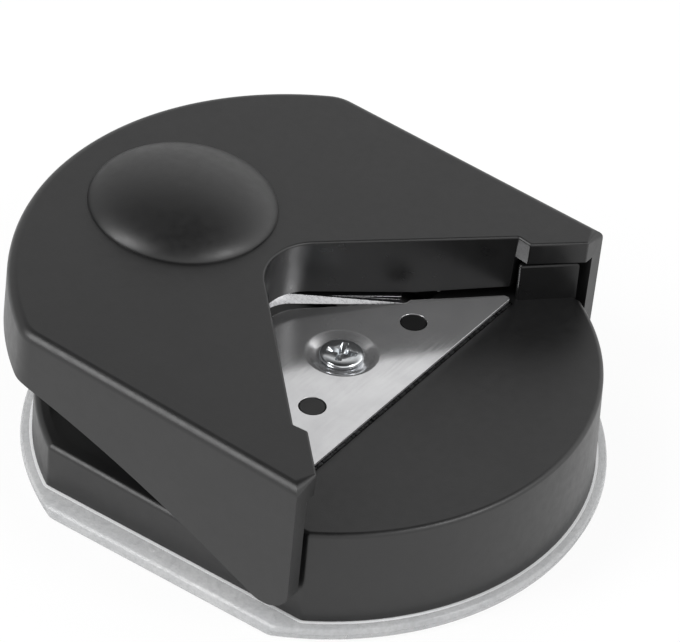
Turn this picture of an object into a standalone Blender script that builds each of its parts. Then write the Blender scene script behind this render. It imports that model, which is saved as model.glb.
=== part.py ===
"""Corner rounder for cards and paper, modelled at rest.

A card slides corner first into the notch of the lever, until its two edges meet the
stops on the base. Pressing the thumb dome turns the lever about the pin near the front,
and the notched blade under it shears the corner off round against the fixed die.
The offcuts drop through the base into a clear tray that pulls off.

Metres, +Z up, +Y from the card side towards the thumb dome. The origin lies under the
middle of the tray. What moves with the lever is built about the hinge pin: the cover in
the frame of the empty lever_pivot, whose Z is square to the cover's top, and the blade in
that of blade_pivot, which is level when the lever is fully pressed.
"""

import math

import bmesh
import bpy
import numpy as np
from mathutils import Matrix, Vector

# Fits and clearances
STACK_GAP = 0.00015
TOUCH_GAP = 0.0003
PIN_PLAY = 0.00006
HOLE_PLAY = 0.00015
SIDE_GAP = 0.00082
OVERRUN = 0.002

# Card stops and cutting corner: a card's edges lie on the lines y = corner - |x|
CARD_CORNER = 0.00966
CUT_RADIUS = 0.0050

# Clear tray, whose ledge stands out round the base
TRAY_LEDGE = 0.00135
TRAY_SIDE_LEDGE = 0.00267
TRAY_CORNER_ROUND = 0.0020
TRAY_EDGE = 0.0003
TRAY_FLANGE = 0.0018
TRAY_FLAT_ROUND = 0.0013
TRAY_FLOOR = 0.0010
TRAY_WALL = 0.0010
TRAY_WALL_TOP = 0.0040
TRAY_FIT = 0.0002

# Base moulding
BASE_RADIUS = 0.0333
FLAT_DEPTH = 0.00557
BASE_CORNER_ROUND = 0.0013
BASE_HEIGHT = 0.01225
BASE_DRAFT = math.radians(1.6)
BASE_WALL = 0.0018
TABLE_EDGE = 0.0006
DECK_THICKNESS = 0.0020
POCKET_FLOOR = 0.0016
TUB_FLOOR = 0.0010
TUB_RIM = 0.00525
TUB_RIM_SLOPE = math.radians(2.0)
SHOULDER_Y = -0.0057
DIE_OVERHANG = 0.0008
WINDOW_HALF = 0.0100
WINDOW_MARGIN = 0.0016
FLOOR_RIB_X = 0.0170
FLOOR_RIB_HEIGHT = 0.0010
FLOOR_RIB_THICKNESS = 0.0012

# Card stops on the base
STOP_REACH = 0.00547
STOP_HEIGHT = 0.00503
STOP_INSET = 0.00005
STOP_ROUND = 0.0012
STOP_EDGE = 0.0004

# Hinge
PIN_INSET = 0.0183
HINGE_RISE = 0.00625
PIN_RADIUS = 0.0015
PIN_END_GAP = 0.0001
PIN_SOCKET = 0.0013
PIN_CHAMFER = 0.0002
PIN_BOSS_RADIUS = 0.0030
PIN_BOSS_LENGTH = 0.0060
PIN_SADDLE_X = 0.0090
PIN_SADDLE_THICKNESS = 0.0016
LEVER_TILT = math.radians(3.53)
PRESS_TRAVEL = math.radians(6.5)

# Die plate
DIE_THICKNESS = 0.0018
DIE_MARGIN = 0.0002
DIE_TIP = 0.00106
PLATES_INSET = 0.00643

# Card plate, which the card slides over
CARD_PLATE_THICKNESS = 0.0004
CARD_PLATE_LIFT = 0.0004
CARD_PLATE_INSET = 0.0001
WING_MARGIN = 0.0001
RECESS_DEPTH = 0.0007
RECESS_HALF = 0.0125
RECESS_STEP = 0.0008
PLATE_TIP_ROUND = 0.0004
PEG_ACROSS_SHARE = 0.472
PEG_FORWARD_SHARE = 0.5
PEG_RADIUS = 0.00145
PEG_PROUD = 0.00035
SCREW_Y = -0.00314
DISH_RADIUS = 0.00415
DISH_FLOOR_RADIUS = 0.0030
DISH_DEPTH = 0.0006

# Plate screw
HEAD_RADIUS = 0.0025
HEAD_HEIGHT = 0.0011
SHANK_RADIUS = 0.0011
SCREW_LENGTH = 0.0080
SCREW_BOSS_RADIUS = 0.0030
SCREW_BOSS_HEIGHT = 0.0045
DRIVE_LENGTH = 0.0028
DRIVE_WIDTH = 0.0006
DRIVE_DEPTH = 0.0006
HEAD_RIM_SHARE = 0.5

# Lever cover
LEVER_OVER_TABLE = 0.00874
LEVER_WALL = 0.0020
LEVER_ROOF = 0.0020
LEVER_OVERHANG = 0.00328
LEVER_BACK_CENTRE_Y = 0.00013
LEVER_BACK_ROUND = 0.0045
LEVER_EDGE = 0.0008
LEVER_FRONT = 0.00273
FRONT_DRAFT = math.radians(2.2)
NOTCH_MARGIN = 0.00068
NOTCH_SPREAD = math.radians(1.18)
NOTCH_RADIUS = 0.0070
NOTCH_EDGE = 0.0003
ARM_HEAD = 0.00827
ARM_STEP = 0.00204
ARM_STEP_SLANT = 0.0002
ARM_LIP = 0.0029
NOTCH_WALL_APEX = 0.00666
NOTCH_WALL_DEEPEST = 0.00748
NOTCH_WALL_END = 0.00701
NOTCH_WALL_BEND_X = 0.0140
LOBE_RADIUS = 0.00355
SKIRT_BACK_DEPTH = 0.0074
SKIRT_LEVEL_REACH = 0.0345
SKIRT_BEND_REACH = 0.0196
SKIRT_RISE = math.radians(23.4)
ROOF_RIB_X = 0.0180
ROOF_RIB_DEPTH = 0.0035
POST_RIB_DEPTH = 0.0045
ROOF_RIB_THICKNESS = 0.0012

# Thumb dome on the cover
DOME_INSET = 0.0121
DOME_RADIUS = 0.0111
DOME_HEIGHT = 0.0033

# Blade
BLADE_THICKNESS = 0.0007
BLADE_DEPTH = 0.0015
BLADE_GAP = 0.0002
BLADE_ARM_X = 0.0133
BLADE_ARM_WIDTH = 0.0060
BLADE_SIDE_LENGTH = 0.0040
BLADE_BACK_HALF = 0.0095
BLADE_BACK_GAP = 0.0006
BLADE_SCREW_X = 0.0115
BLADE_SCREW_INSET = 0.00334
BLADE_BOSS_RADIUS = 0.0030
BLADE_HEAD_RADIUS = 0.0022
BLADE_HEAD_HEIGHT = 0.0013
BLADE_SHANK_RADIUS = 0.0010
BLADE_SCREW_LENGTH = 0.0055

# Return spring
SPRING_LEAD = 0.0003
SPRING_RADIUS = 0.0039
SPRING_WIRE = 0.0008
SPRING_TURNS = 7
SPRING_END_GAP = 0.0005
POINTS_PER_TURN = 9
STUB_RADIUS = 0.0026
STUB_HEIGHT = 0.0042
SEAT_RING_RADIUS = 0.0060
SEAT_RING_HEIGHT = 0.0010
POST_RADIUS = 0.0022
POST_COLLAR_RADIUS = 0.0052
POST_COLLAR_DROP = 0.0006

# Levels and places that follow
BASE_FLAT = BASE_RADIUS - FLAT_DEPTH
TRAY_RADIUS = BASE_RADIUS + TRAY_LEDGE
TRAY_FLAT = BASE_FLAT + TRAY_SIDE_LEDGE
HINGE_Y = PIN_INSET - BASE_RADIUS
BASE_UNDERSIDE = TRAY_FLANGE + STACK_GAP
TABLE = BASE_UNDERSIDE + BASE_HEIGHT
HINGE_Z = BASE_UNDERSIDE + HINGE_RISE
CHIP_CEILING = TRAY_WALL_TOP + TOUCH_GAP
TUB_BOTTOM = CHIP_CEILING + TUB_FLOOR
DIE_BOTTOM = TABLE - DIE_THICKNESS
POCKET_BOTTOM = DIE_BOTTOM - STACK_GAP
DECK_UNDER_POCKET = POCKET_BOTTOM - POCKET_FLOOR
CARD_PLATE_BOTTOM = TABLE + CARD_PLATE_LIFT
CARD_PLATE_TOP = CARD_PLATE_BOTTOM + CARD_PLATE_THICKNESS
DISH_TOP = CARD_PLATE_TOP - DISH_DEPTH
DISH_BOTTOM = DISH_TOP - CARD_PLATE_THICKNESS
BASE_INNER_RADIUS = BASE_RADIUS - BASE_WALL - BASE_HEIGHT * math.tan(BASE_DRAFT)
BASE_INNER_FLAT = BASE_FLAT - BASE_WALL - BASE_HEIGHT * math.tan(BASE_DRAFT)
DIE_CORNER = CARD_CORNER + DIE_MARGIN
PLATES_HALF = BASE_FLAT - PLATES_INSET
DIE_FRONT_Y = DIE_CORNER - PLATES_HALF - DIE_TIP
CARD_PLATE_FRONT_Y = DIE_FRONT_Y + CARD_PLATE_INSET
PEG_X = PLATES_HALF * PEG_ACROSS_SHARE
PEG_Y = DIE_FRONT_Y * PEG_FORWARD_SHARE
PENINSULA_CORNER = DIE_CORNER - DIE_OVERHANG * math.sqrt(2)
LEVER_RISE = TABLE - HINGE_Z + LEVER_OVER_TABLE
LEVER_FLAT = BASE_FLAT + SIDE_GAP + LEVER_WALL
LEVER_INNER_FLAT = LEVER_FLAT - LEVER_WALL
LEVER_BACK_RADIUS = BASE_RADIUS + LEVER_OVERHANG
LEVER_ARC_Y = LEVER_BACK_CENTRE_Y - HINGE_Y
ARM_STEP_X = LEVER_FLAT - ARM_HEAD
NOTCH_HALF = math.pi / 4 + NOTCH_SPREAD
NOTCH_SLOPE = 1 / math.tan(NOTCH_HALF)
NOTCH_WALL_DEPTH = LEVER_WALL / math.sin(NOTCH_HALF)
DOME_REACH = BASE_RADIUS - DOME_INSET - HINGE_Y
NOTCH_CORNER = CARD_CORNER - HINGE_Y + NOTCH_MARGIN
ROOF_UNDERSIDE = LEVER_RISE - LEVER_ROOF
PIN_HOLE_RADIUS = PIN_RADIUS + PIN_PLAY
PIN_HALF = LEVER_INNER_FLAT + PIN_SOCKET - PIN_END_GAP
BLADE_TILT = PRESS_TRAVEL - LEVER_TILT
BLADE_BOTTOM = TABLE - HINGE_Z - BLADE_DEPTH
BLADE_TOP = BLADE_BOTTOM + BLADE_THICKNESS
BLADE_BACK_REACH = DOME_REACH - SPRING_RADIUS - SPRING_WIRE / 2 - BLADE_BACK_GAP
BLADE_SCREW_REACH = NOTCH_CORNER - BLADE_SCREW_INSET
SPRING_Y = HINGE_Y + DOME_REACH - SPRING_LEAD
WINDOW_BACK = SPRING_Y - SEAT_RING_RADIUS - WINDOW_MARGIN
STUB_TOP = TUB_BOTTOM + STUB_HEIGHT

# Facet counts
BACK_STEPS = 36
FILLET_STEPS = 12
CORNER_STEPS = 4
EDGE_STEPS = 3
ROUND_SIDES = 32
DOME_SIDES = 64
POST_SIDES = 28
DOME_STEPS = 12
SKIRT_STEPS = 14


def clear_scene():
    for obj in list(bpy.data.objects):
        bpy.data.objects.remove(obj, do_unlink=True)


def material(name, colour, roughness, metallic=0.0, alpha=1.0):
    made = bpy.data.materials.new(name)
    made.use_nodes = True
    shader = made.node_tree.nodes["Principled BSDF"]
    shader.inputs["Base Color"].default_value = (*colour, 1.0)
    shader.inputs["Roughness"].default_value = roughness
    shader.inputs["Metallic"].default_value = metallic
    shader.inputs["Alpha"].default_value = alpha
    made.diffuse_color = (*colour, alpha)
    return made


# Outlines: lists of (x, y), counter-clockwise


def arc(centre, radius, start, end, steps):
    """Points on an arc with both its ends, from one angle to the other, in degrees."""
    angles = np.radians(np.linspace(start, end, steps + 1))
    return [(centre[0] + radius * math.cos(a), centre[1] + radius * math.sin(a)) for a in angles]


def circle(radius, centre=(0, 0), sides=ROUND_SIDES):
    return arc(centre, radius, 0, 360, sides)[:-1]


def v_apex(corner, radius, half=math.pi / 4):
    """The rounded apex of an upright V, left to right, each side at an angle to its middle."""
    centre = (0, corner - radius / math.sin(half))
    return arc(centre, radius, 180 - math.degrees(half), math.degrees(half), FILLET_STEPS)


def notch_side(corner, x):
    """How far back the notch's side is at a given x, where its two sides meet at a corner."""
    return corner - x * NOTCH_SLOPE


def both_sides(right, across):
    """An outline from its right side and the points from there across to its left side."""
    return [*right, *across, *((-x, y) for x, y in reversed(right))]


def soft_back(radius, flat, corner, centre_y=0.0):
    """The back of a disc cut by a flat at each side, with its two corners rounded."""
    inner = radius - corner
    across = flat - corner
    reach = math.degrees(math.acos(across / inner))
    centre = (across, centre_y + math.sqrt(inner**2 - across**2))
    back = arc((0, centre_y), radius, reach, 180 - reach, BACK_STEPS)
    return both_sides(arc(centre, corner, 0, reach, CORNER_STEPS)[:-1], back)


def soft_disc(radius, flat, corner):
    """A round outline cut by a flat at each side, with its four corners rounded."""
    back = soft_back(radius, flat, corner)
    return back + [(x, -y) for x, y in reversed(back)]


def disc(radius, flat):
    """A round outline cut by a flat at each side."""
    reach = math.degrees(math.acos(flat / radius))
    return arc((0, 0), radius, reach, 180 - reach, BACK_STEPS) + arc(
        (0, 0), radius, 180 + reach, 360 - reach, BACK_STEPS
    )


def behind(corner, apex_radius, shoulder, radius, flat):
    """The part of a disc behind its shoulders and a V-shaped peninsula between them."""
    reach = math.degrees(math.acos(flat / radius))
    apex = v_apex(corner, apex_radius)
    front = [(-flat, shoulder), (shoulder - corner, shoulder), *apex]
    return front + [(corner - shoulder, shoulder), (flat, shoulder)] + arc(
        (0, 0), radius, reach, 180 - reach, BACK_STEPS
    )


def ahead(corner, apex_radius, shoulder, radius, flat):
    """The part of a disc before its shoulders, with the V-shaped peninsula between them."""
    reach = math.degrees(math.acos(flat / radius))
    apex = v_apex(corner, apex_radius)[::-1]
    back = [(flat, shoulder), (corner - shoulder, shoulder), *apex]
    return back + [(shoulder - corner, shoulder), (-flat, shoulder)] + arc(
        (0, 0), radius, 180 + reach, 360 - reach, BACK_STEPS
    )


def offset(outline, distance):
    """The outline moved outwards by one distance or by one for each point, with mitred corners."""
    points = np.array(outline)
    along = np.roll(points, -1, axis=0) - points
    along /= np.linalg.norm(along, axis=1)[:, None]
    outward = np.stack((along[:, 1], -along[:, 0]), axis=1)
    mitre = outward + np.roll(outward, 1, axis=0)
    mitre /= (mitre * outward).sum(axis=1)[:, None]
    distances = np.broadcast_to(distance, len(points))[:, None]
    return [tuple(point) for point in points + distances * mitre]


def rounded_corner(corner, before, after, radius):
    """The points of a round at a corner between two neighbours of the outline."""
    corner, before, after = (Vector(point) for point in (corner, before, after))
    back = (before - corner).normalized()
    on = (after - corner).normalized()
    half = back.angle(on) / 2
    centre = corner + (back + on).normalized() * (radius / math.sin(half))
    start = corner + back * (radius / math.tan(half)) - centre
    turn = (math.pi - 2 * half) * math.copysign(1, -back.cross(on))
    return [
        tuple(centre + Matrix.Rotation(turn * i / CORNER_STEPS, 2) @ start)
        for i in range(CORNER_STEPS + 1)
    ]


# Solids


def loft(name, rings):
    """A closed solid over rings of equally many points, lowest first.

    Each ring is an outline and its height, which may be a function of x and y or one for
    each point.
    """
    bm = bmesh.new()
    loops = []
    for outline, height in rings:
        if callable(height):
            height = [height(x, y) for x, y in outline]
        heights = np.broadcast_to(height, len(outline))
        loops.append([bm.verts.new((x, y, z)) for (x, y), z in zip(outline, heights)])
    for low, high in zip(loops, loops[1:]):
        for i in range(len(low)):
            bm.faces.new((low[i - 1], low[i], high[i], high[i - 1]))
    bm.faces.new(reversed(loops[0]))
    bm.faces.new(loops[-1])
    mesh = bpy.data.meshes.new(name)
    bm.to_mesh(mesh)
    bm.free()
    obj = bpy.data.objects.new(name, mesh)
    bpy.context.collection.objects.link(obj)
    return obj


def prism(name, outline, low, high):
    return loft(name, [(outline, low), (outline, high)])


def rod(name, radius, low, high, centre=(0, 0)):
    return prism(name, circle(radius, centre), low, high)


def box(name, x, y, z):
    return prism(name, [(x[0], y[0]), (x[1], y[0]), (x[1], y[1]), (x[0], y[1])], z[0], z[1])


def turn_across(obj):
    """Turns a solid built upright so that its outline's x, y and height run along Y, Z and X."""
    obj.data.transform(Matrix(((0, 0, 1, 0), (1, 0, 0, 0), (0, 1, 0, 0), (0, 0, 0, 1))))
    return obj


def edge_rings(outline, low, high, edge, shrink=0.0):
    """Rings of a prism whose top edge is rounded and whose top is smaller by shrink.

    The edge is one radius or one for each point of the outline.
    """
    edge = np.asarray(edge)
    rings = [(outline, low)]
    for i in range(EDGE_STEPS + 1):
        turn = math.pi / 2 * i / EDGE_STEPS
        inset = shrink + edge * (1 - math.cos(turn))
        rings.append((offset(outline, -inset), high - edge * (1 - math.sin(turn))))
    return rings


def combine(obj, operation, others):
    for other in others:
        modifier = obj.modifiers.new(other.name, "BOOLEAN")
        modifier.operation = operation
        modifier.object = other
        other.parent = obj.parent
        other.hide_render = True
        other.display_type = "WIRE"


def add(obj, *others):
    combine(obj, "UNION", others)


def cut(obj, *others):
    combine(obj, "DIFFERENCE", others)


def finish(obj, made_of):
    """Makes the Booleans part of the mesh, gives the material and shades round faces smooth."""
    bpy.context.view_layer.update()
    tools = [modifier.object for modifier in obj.modifiers]
    graph = bpy.context.evaluated_depsgraph_get()
    mesh = bpy.data.meshes.new_from_object(obj.evaluated_get(graph))
    obj.modifiers.clear()
    obj.data = mesh
    for tool in tools:
        bpy.data.objects.remove(tool, do_unlink=True)
    mesh.name = obj.name
    mesh.materials.clear()
    mesh.materials.append(made_of)
    mesh.shade_smooth()
    mesh.set_sharp_from_angle(angle=math.radians(30))
    return obj


def screw(name, head_radius, head_height, shank_radius, length, at, upwards):
    """A pan-head screw whose head's bearing face is at a point, with a cross drive."""
    rim = head_height * HEAD_RIM_SHARE
    rings = [
        (circle(shank_radius), -length),
        (circle(shank_radius), 0),
        (circle(head_radius), 0),
        (circle(head_radius), rim),
    ]
    for i in range(1, EDGE_STEPS + 1):
        turn = math.pi / 2 * i / (EDGE_STEPS + 1)
        rise = (head_height - rim) * math.sin(turn)
        rings.append((circle(head_radius * math.cos(turn)), rim + rise))
    made = loft(name, rings)
    for i in range(2):
        slot = box(
            f"{name}_slot_{i}",
            (-DRIVE_LENGTH / 2, DRIVE_LENGTH / 2),
            (-DRIVE_WIDTH / 2, DRIVE_WIDTH / 2),
            (head_height - DRIVE_DEPTH, head_height + OVERRUN),
        )
        slot.data.transform(Matrix.Rotation(math.pi / 2 * i, 4, "Z"))
        cut(made, slot)
    turn = Matrix.Identity(4) if upwards else Matrix.Rotation(math.pi, 4, "X")
    for part in [made] + [modifier.object for modifier in made.modifiers]:
        part.data.transform(Matrix.Translation(at) @ turn)
    return made


# Sub-parts


def tray_outline(inset, flat_inset):
    return soft_disc(TRAY_RADIUS - inset, TRAY_FLAT - flat_inset, TRAY_CORNER_ROUND)


def chip_tray(made_of):
    flange = [
        (tray_outline(TRAY_EDGE * 2, TRAY_EDGE), 0),
        (tray_outline(TRAY_EDGE, 0), TRAY_EDGE),
        (tray_outline(TRAY_EDGE, 0), TRAY_FLOOR - TRAY_EDGE / 2),
        (tray_outline(0, 0), TRAY_FLOOR),
    ]
    for i in range(1, EDGE_STEPS + 1):
        turn = math.pi / 2 * i / EDGE_STEPS
        rise = (TRAY_FLANGE - TRAY_FLOOR) * math.sin(turn)
        inset = TRAY_FLAT_ROUND * (1 - math.cos(turn))
        edge = TRAY_EDGE * (1 - math.cos(turn))
        flange.append((tray_outline(edge, inset), TRAY_FLOOR + rise))
    tray = loft("chip_tray", flange)
    wall = disc(BASE_INNER_RADIUS - TRAY_FIT, BASE_INNER_FLAT - TRAY_FIT)
    add(tray, prism("tray_wall", wall, TRAY_FLOOR / 2, TRAY_WALL_TOP))
    cut(
        tray,
        prism("tray_hollow", offset(wall, -TRAY_WALL), TRAY_FLOOR, TRAY_WALL_TOP + OVERRUN),
    )
    return finish(tray, made_of)


def rim_level(x, y):
    return BASE_UNDERSIDE + TUB_RIM + y * math.tan(TUB_RIM_SLOPE)


def card_stop(name, side):
    """One of the two stops that a card's edge slides against."""
    outer = BASE_FLAT - BASE_HEIGHT * math.tan(BASE_DRAFT) - STOP_INSET
    inner = (BASE_FLAT - STOP_REACH, CARD_CORNER - BASE_FLAT + STOP_REACH)
    tip = (outer, CARD_CORNER - outer)
    back = (outer, inner[1])
    outline = [tip, back] + rounded_corner(inner, back, tip, STOP_ROUND)
    if side < 0:
        outline = [(-x, y) for x, y in reversed(outline)]
    rings = edge_rings(outline, TABLE - DECK_THICKNESS / 2, TABLE + STOP_HEIGHT, STOP_EDGE)
    return loft(name, rings)


def base_housing(made_of):
    shrink = BASE_HEIGHT * math.tan(BASE_DRAFT)
    outline = soft_disc(BASE_RADIUS, BASE_FLAT, BASE_CORNER_ROUND)
    base = loft("base_housing", edge_rings(outline, BASE_UNDERSIDE, TABLE, TABLE_EDGE, shrink))
    wide = BASE_RADIUS + OVERRUN
    rear = behind(PENINSULA_CORNER, CUT_RADIUS, SHOULDER_Y, wide, wide - OVERRUN / 2)
    tub = behind(PENINSULA_CORNER, CUT_RADIUS, SHOULDER_Y, BASE_INNER_RADIUS, BASE_INNER_FLAT)
    inner_corner = PENINSULA_CORNER - BASE_WALL * math.sqrt(2)
    chamber = ahead(
        inner_corner, CUT_RADIUS, SHOULDER_Y - BASE_WALL, BASE_INNER_RADIUS, BASE_INNER_FLAT
    )
    pin_front = HINGE_Y - PIN_BOSS_RADIUS
    front_reach = math.degrees(math.asin(-pin_front / BASE_INNER_RADIUS))
    front = arc((0, 0), BASE_INNER_RADIUS, 180 + front_reach, 360 - front_reach, BACK_STEPS)
    cut(
        base,
        prism("rear_opening", rear, rim_level, TABLE + OVERRUN),
        prism("tub", tub, TUB_BOTTOM, TABLE),
        prism(
            "underside_hollow",
            disc(BASE_INNER_RADIUS, BASE_INNER_FLAT),
            BASE_UNDERSIDE - OVERRUN,
            CHIP_CEILING,
        ),
        prism("front_chamber", chamber, CHIP_CEILING - OVERRUN, DECK_UNDER_POCKET),
        prism("deck_hollow", front, DECK_UNDER_POCKET - OVERRUN, TABLE - DECK_THICKNESS),
        prism("die_pocket", offset(die_outline(), HOLE_PLAY), POCKET_BOTTOM, TABLE + OVERRUN),
        box(
            "chip_window",
            (-WINDOW_HALF, WINDOW_HALF),
            (0, WINDOW_BACK),
            (CHIP_CEILING - OVERRUN, TUB_BOTTOM + TOUCH_GAP),
        ),
    )
    boss_low = DECK_UNDER_POCKET - SCREW_BOSS_HEIGHT
    inside = POCKET_FLOOR / 2
    add(base, rod("screw_boss", SCREW_BOSS_RADIUS, boss_low, DECK_UNDER_POCKET + inside, (0, SCREW_Y)))
    for side, word in ((-1, "left"), (1, "right")):
        add(base, card_stop(f"card_stop_{word}", side))
        peg = (side * PEG_X, PEG_Y)
        peg_top = CARD_PLATE_BOTTOM + PEG_PROUD
        add(base, rod(f"peg_{word}", PEG_RADIUS, POCKET_BOTTOM - inside, peg_top, peg))
        inner_end = side * (BASE_INNER_FLAT - PIN_BOSS_LENGTH)
        wall_end = side * (BASE_INNER_FLAT + BASE_WALL / 2)
        boss = prism(
            f"pin_boss_{word}",
            circle(PIN_BOSS_RADIUS, (HINGE_Y, HINGE_Z)),
            min(inner_end, wall_end),
            max(inner_end, wall_end),
        )
        middle = side * PIN_SADDLE_X
        saddle = box(
            f"pin_saddle_{word}",
            (middle - PIN_SADDLE_THICKNESS / 2, middle + PIN_SADDLE_THICKNESS / 2),
            (HINGE_Y - PIN_BOSS_RADIUS, HINGE_Y + PIN_BOSS_RADIUS),
            (HINGE_Z - PIN_BOSS_RADIUS, POCKET_BOTTOM - inside),
        )
        rib_x = side * FLOOR_RIB_X
        rib = box(
            f"floor_rib_{word}",
            (rib_x - FLOOR_RIB_THICKNESS / 2, rib_x + FLOOR_RIB_THICKNESS / 2),
            (SHOULDER_Y - BASE_WALL / 2, tub_back(FLOOR_RIB_X) + BASE_WALL / 2),
            (TUB_BOTTOM - TUB_FLOOR / 2, TUB_BOTTOM + FLOOR_RIB_HEIGHT),
        )
        add(base, turn_across(boss), saddle, rib)
    spring_at = (0, SPRING_Y)
    seat_low = TUB_BOTTOM - TUB_FLOOR / 2
    ring_top = TUB_BOTTOM + SEAT_RING_HEIGHT
    ring_bore = SPRING_RADIUS + SPRING_WIRE
    add(base, rod("spring_ring", SEAT_RING_RADIUS, seat_low, ring_top, spring_at))
    cut(base, rod("spring_bore", ring_bore, TUB_BOTTOM, ring_top + OVERRUN, spring_at))
    add(base, rod("spring_stub", STUB_RADIUS, seat_low, STUB_TOP, spring_at))
    pin_hole = prism(
        "pin_hole",
        circle(PIN_HOLE_RADIUS, (HINGE_Y, HINGE_Z)),
        -BASE_FLAT - OVERRUN,
        BASE_FLAT + OVERRUN,
    )
    screw_hole = rod(
        "screw_hole",
        SHANK_RADIUS + HOLE_PLAY,
        boss_low - OVERRUN,
        POCKET_BOTTOM + OVERRUN,
        (0, SCREW_Y),
    )
    cut(base, turn_across(pin_hole), screw_hole)
    return finish(base, made_of)


def tub_back(x):
    """How far back the tub's inner wall is at a given x."""
    return math.sqrt(BASE_INNER_RADIUS**2 - x**2)


def die_outline():
    """The die's V with its rounded cutting corner, and its straight front edge."""
    right = [(PLATES_HALF, DIE_FRONT_Y), (PLATES_HALF, DIE_CORNER - PLATES_HALF)]
    return both_sides(right, v_apex(DIE_CORNER, CUT_RADIUS)[::-1])


def plate_holes(name, low, high):
    """Cutters for the screw and the two pegs, through a plate between two levels."""
    holes = [rod(f"{name}_screw", SHANK_RADIUS + HOLE_PLAY, low, high, (0, SCREW_Y))]
    for side, word in ((-1, "left"), (1, "right")):
        at = (side * PEG_X, PEG_Y)
        holes.append(rod(f"{name}_peg_{word}", PEG_RADIUS + HOLE_PLAY, low, high, at))
    return holes


def die_plate(made_of):
    die = prism("die_plate", die_outline(), DIE_BOTTOM, TABLE)
    seat = rod(
        "dish_seat",
        DISH_RADIUS,
        DISH_BOTTOM - STACK_GAP,
        TABLE + OVERRUN,
        (0, SCREW_Y),
    )
    cut(die, seat, *plate_holes("die", DIE_BOTTOM - OVERRUN, TABLE + OVERRUN))
    return finish(die, made_of)


def card_plate_outline():
    wing = CARD_CORNER + WING_MARGIN
    recess = wing - RECESS_DEPTH
    step = RECESS_HALF + RECESS_STEP
    tip = (PLATES_HALF, CARD_PLATE_FRONT_Y)
    end = (PLATES_HALF, wing - PLATES_HALF)
    front_round = rounded_corner(tip, (0, CARD_PLATE_FRONT_Y), end, PLATE_TIP_ROUND)
    back_round = rounded_corner(end, tip, (step, wing - step), PLATE_TIP_ROUND)
    right = front_round + back_round + [(step, wing - step), (RECESS_HALF, recess - RECESS_HALF)]
    return both_sides(right, v_apex(recess, CUT_RADIUS)[::-1])


def card_plate(made_of):
    """A thin polished plate, pressed into a dish round the screw that holds it down."""
    plate = prism("card_plate", card_plate_outline(), CARD_PLATE_BOTTOM, CARD_PLATE_TOP)
    centre = (0, SCREW_Y)
    lowered = loft(
        "dish_outside",
        [
            (circle(DISH_FLOOR_RADIUS, centre), DISH_BOTTOM),
            (circle(DISH_RADIUS, centre), CARD_PLATE_BOTTOM + CARD_PLATE_THICKNESS / 2),
        ],
    )
    hollow = loft(
        "dish_inside",
        [
            (circle(DISH_FLOOR_RADIUS, centre), DISH_TOP),
            (circle(DISH_RADIUS, centre), CARD_PLATE_TOP),
            (circle(DISH_RADIUS, centre), CARD_PLATE_TOP + OVERRUN),
        ],
    )
    add(plate, lowered)
    cut(plate, hollow, *plate_holes("plate", DISH_BOTTOM - OVERRUN, CARD_PLATE_TOP + OVERRUN))
    return finish(plate, made_of)


def plate_screw(made_of):
    at = (0, SCREW_Y, DISH_TOP + STACK_GAP)
    made = screw("plate_screw", HEAD_RADIUS, HEAD_HEIGHT, SHANK_RADIUS, SCREW_LENGTH, at, True)
    return finish(made, made_of)


def hinge_pin(made_of):
    ends = PIN_HALF - PIN_CHAMFER
    slim = circle(PIN_RADIUS - PIN_CHAMFER, (HINGE_Y, HINGE_Z))
    full = circle(PIN_RADIUS, (HINGE_Y, HINGE_Z))
    rings = [(slim, -PIN_HALF), (full, -ends), (full, ends), (slim, PIN_HALF)]
    return finish(turn_across(loft("hinge_pin", rings)), made_of)


def cover_outline(front):
    """The cover seen from above, and how far its top edge is rounded at each point.

    The notch's rim is crisp, and a step near the front of each arm makes the card's way
    narrower there.
    """
    arm_corner = NOTCH_CORNER - ARM_STEP
    step_end = ARM_STEP_X - ARM_STEP_SLANT
    arm = [
        (ARM_STEP_X, notch_side(NOTCH_CORNER, ARM_STEP_X)),
        (step_end, notch_side(arm_corner, step_end)),
        ((arm_corner + front) / NOTCH_SLOPE, -front),
    ]
    tip = (LEVER_FLAT, -front)
    back = soft_back(LEVER_BACK_RADIUS, LEVER_FLAT, LEVER_BACK_ROUND, LEVER_ARC_Y)
    apex = v_apex(NOTCH_CORNER, NOTCH_RADIUS, NOTCH_HALF)
    crisp = [NOTCH_EDGE] * len(arm)
    soft = [LEVER_EDGE] * (len(back) + 2)
    outline = both_sides([*arm, tip], back) + apex
    return outline, crisp + soft + crisp + [NOTCH_EDGE] * len(apex)


def cover_hollow_outline():
    """The inside of the cover's walls, seen from above."""
    corner = NOTCH_CORNER + NOTCH_WALL_DEPTH
    radius = LEVER_BACK_RADIUS - LEVER_WALL
    corner_round = LEVER_BACK_ROUND - LEVER_WALL
    back = soft_back(radius, LEVER_INNER_FLAT, corner_round, LEVER_ARC_Y)
    end = (LEVER_INNER_FLAT, notch_side(corner, LEVER_INNER_FLAT))
    return both_sides([end], back) + v_apex(corner, NOTCH_RADIUS + LEVER_WALL, NOTCH_HALF)


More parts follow.
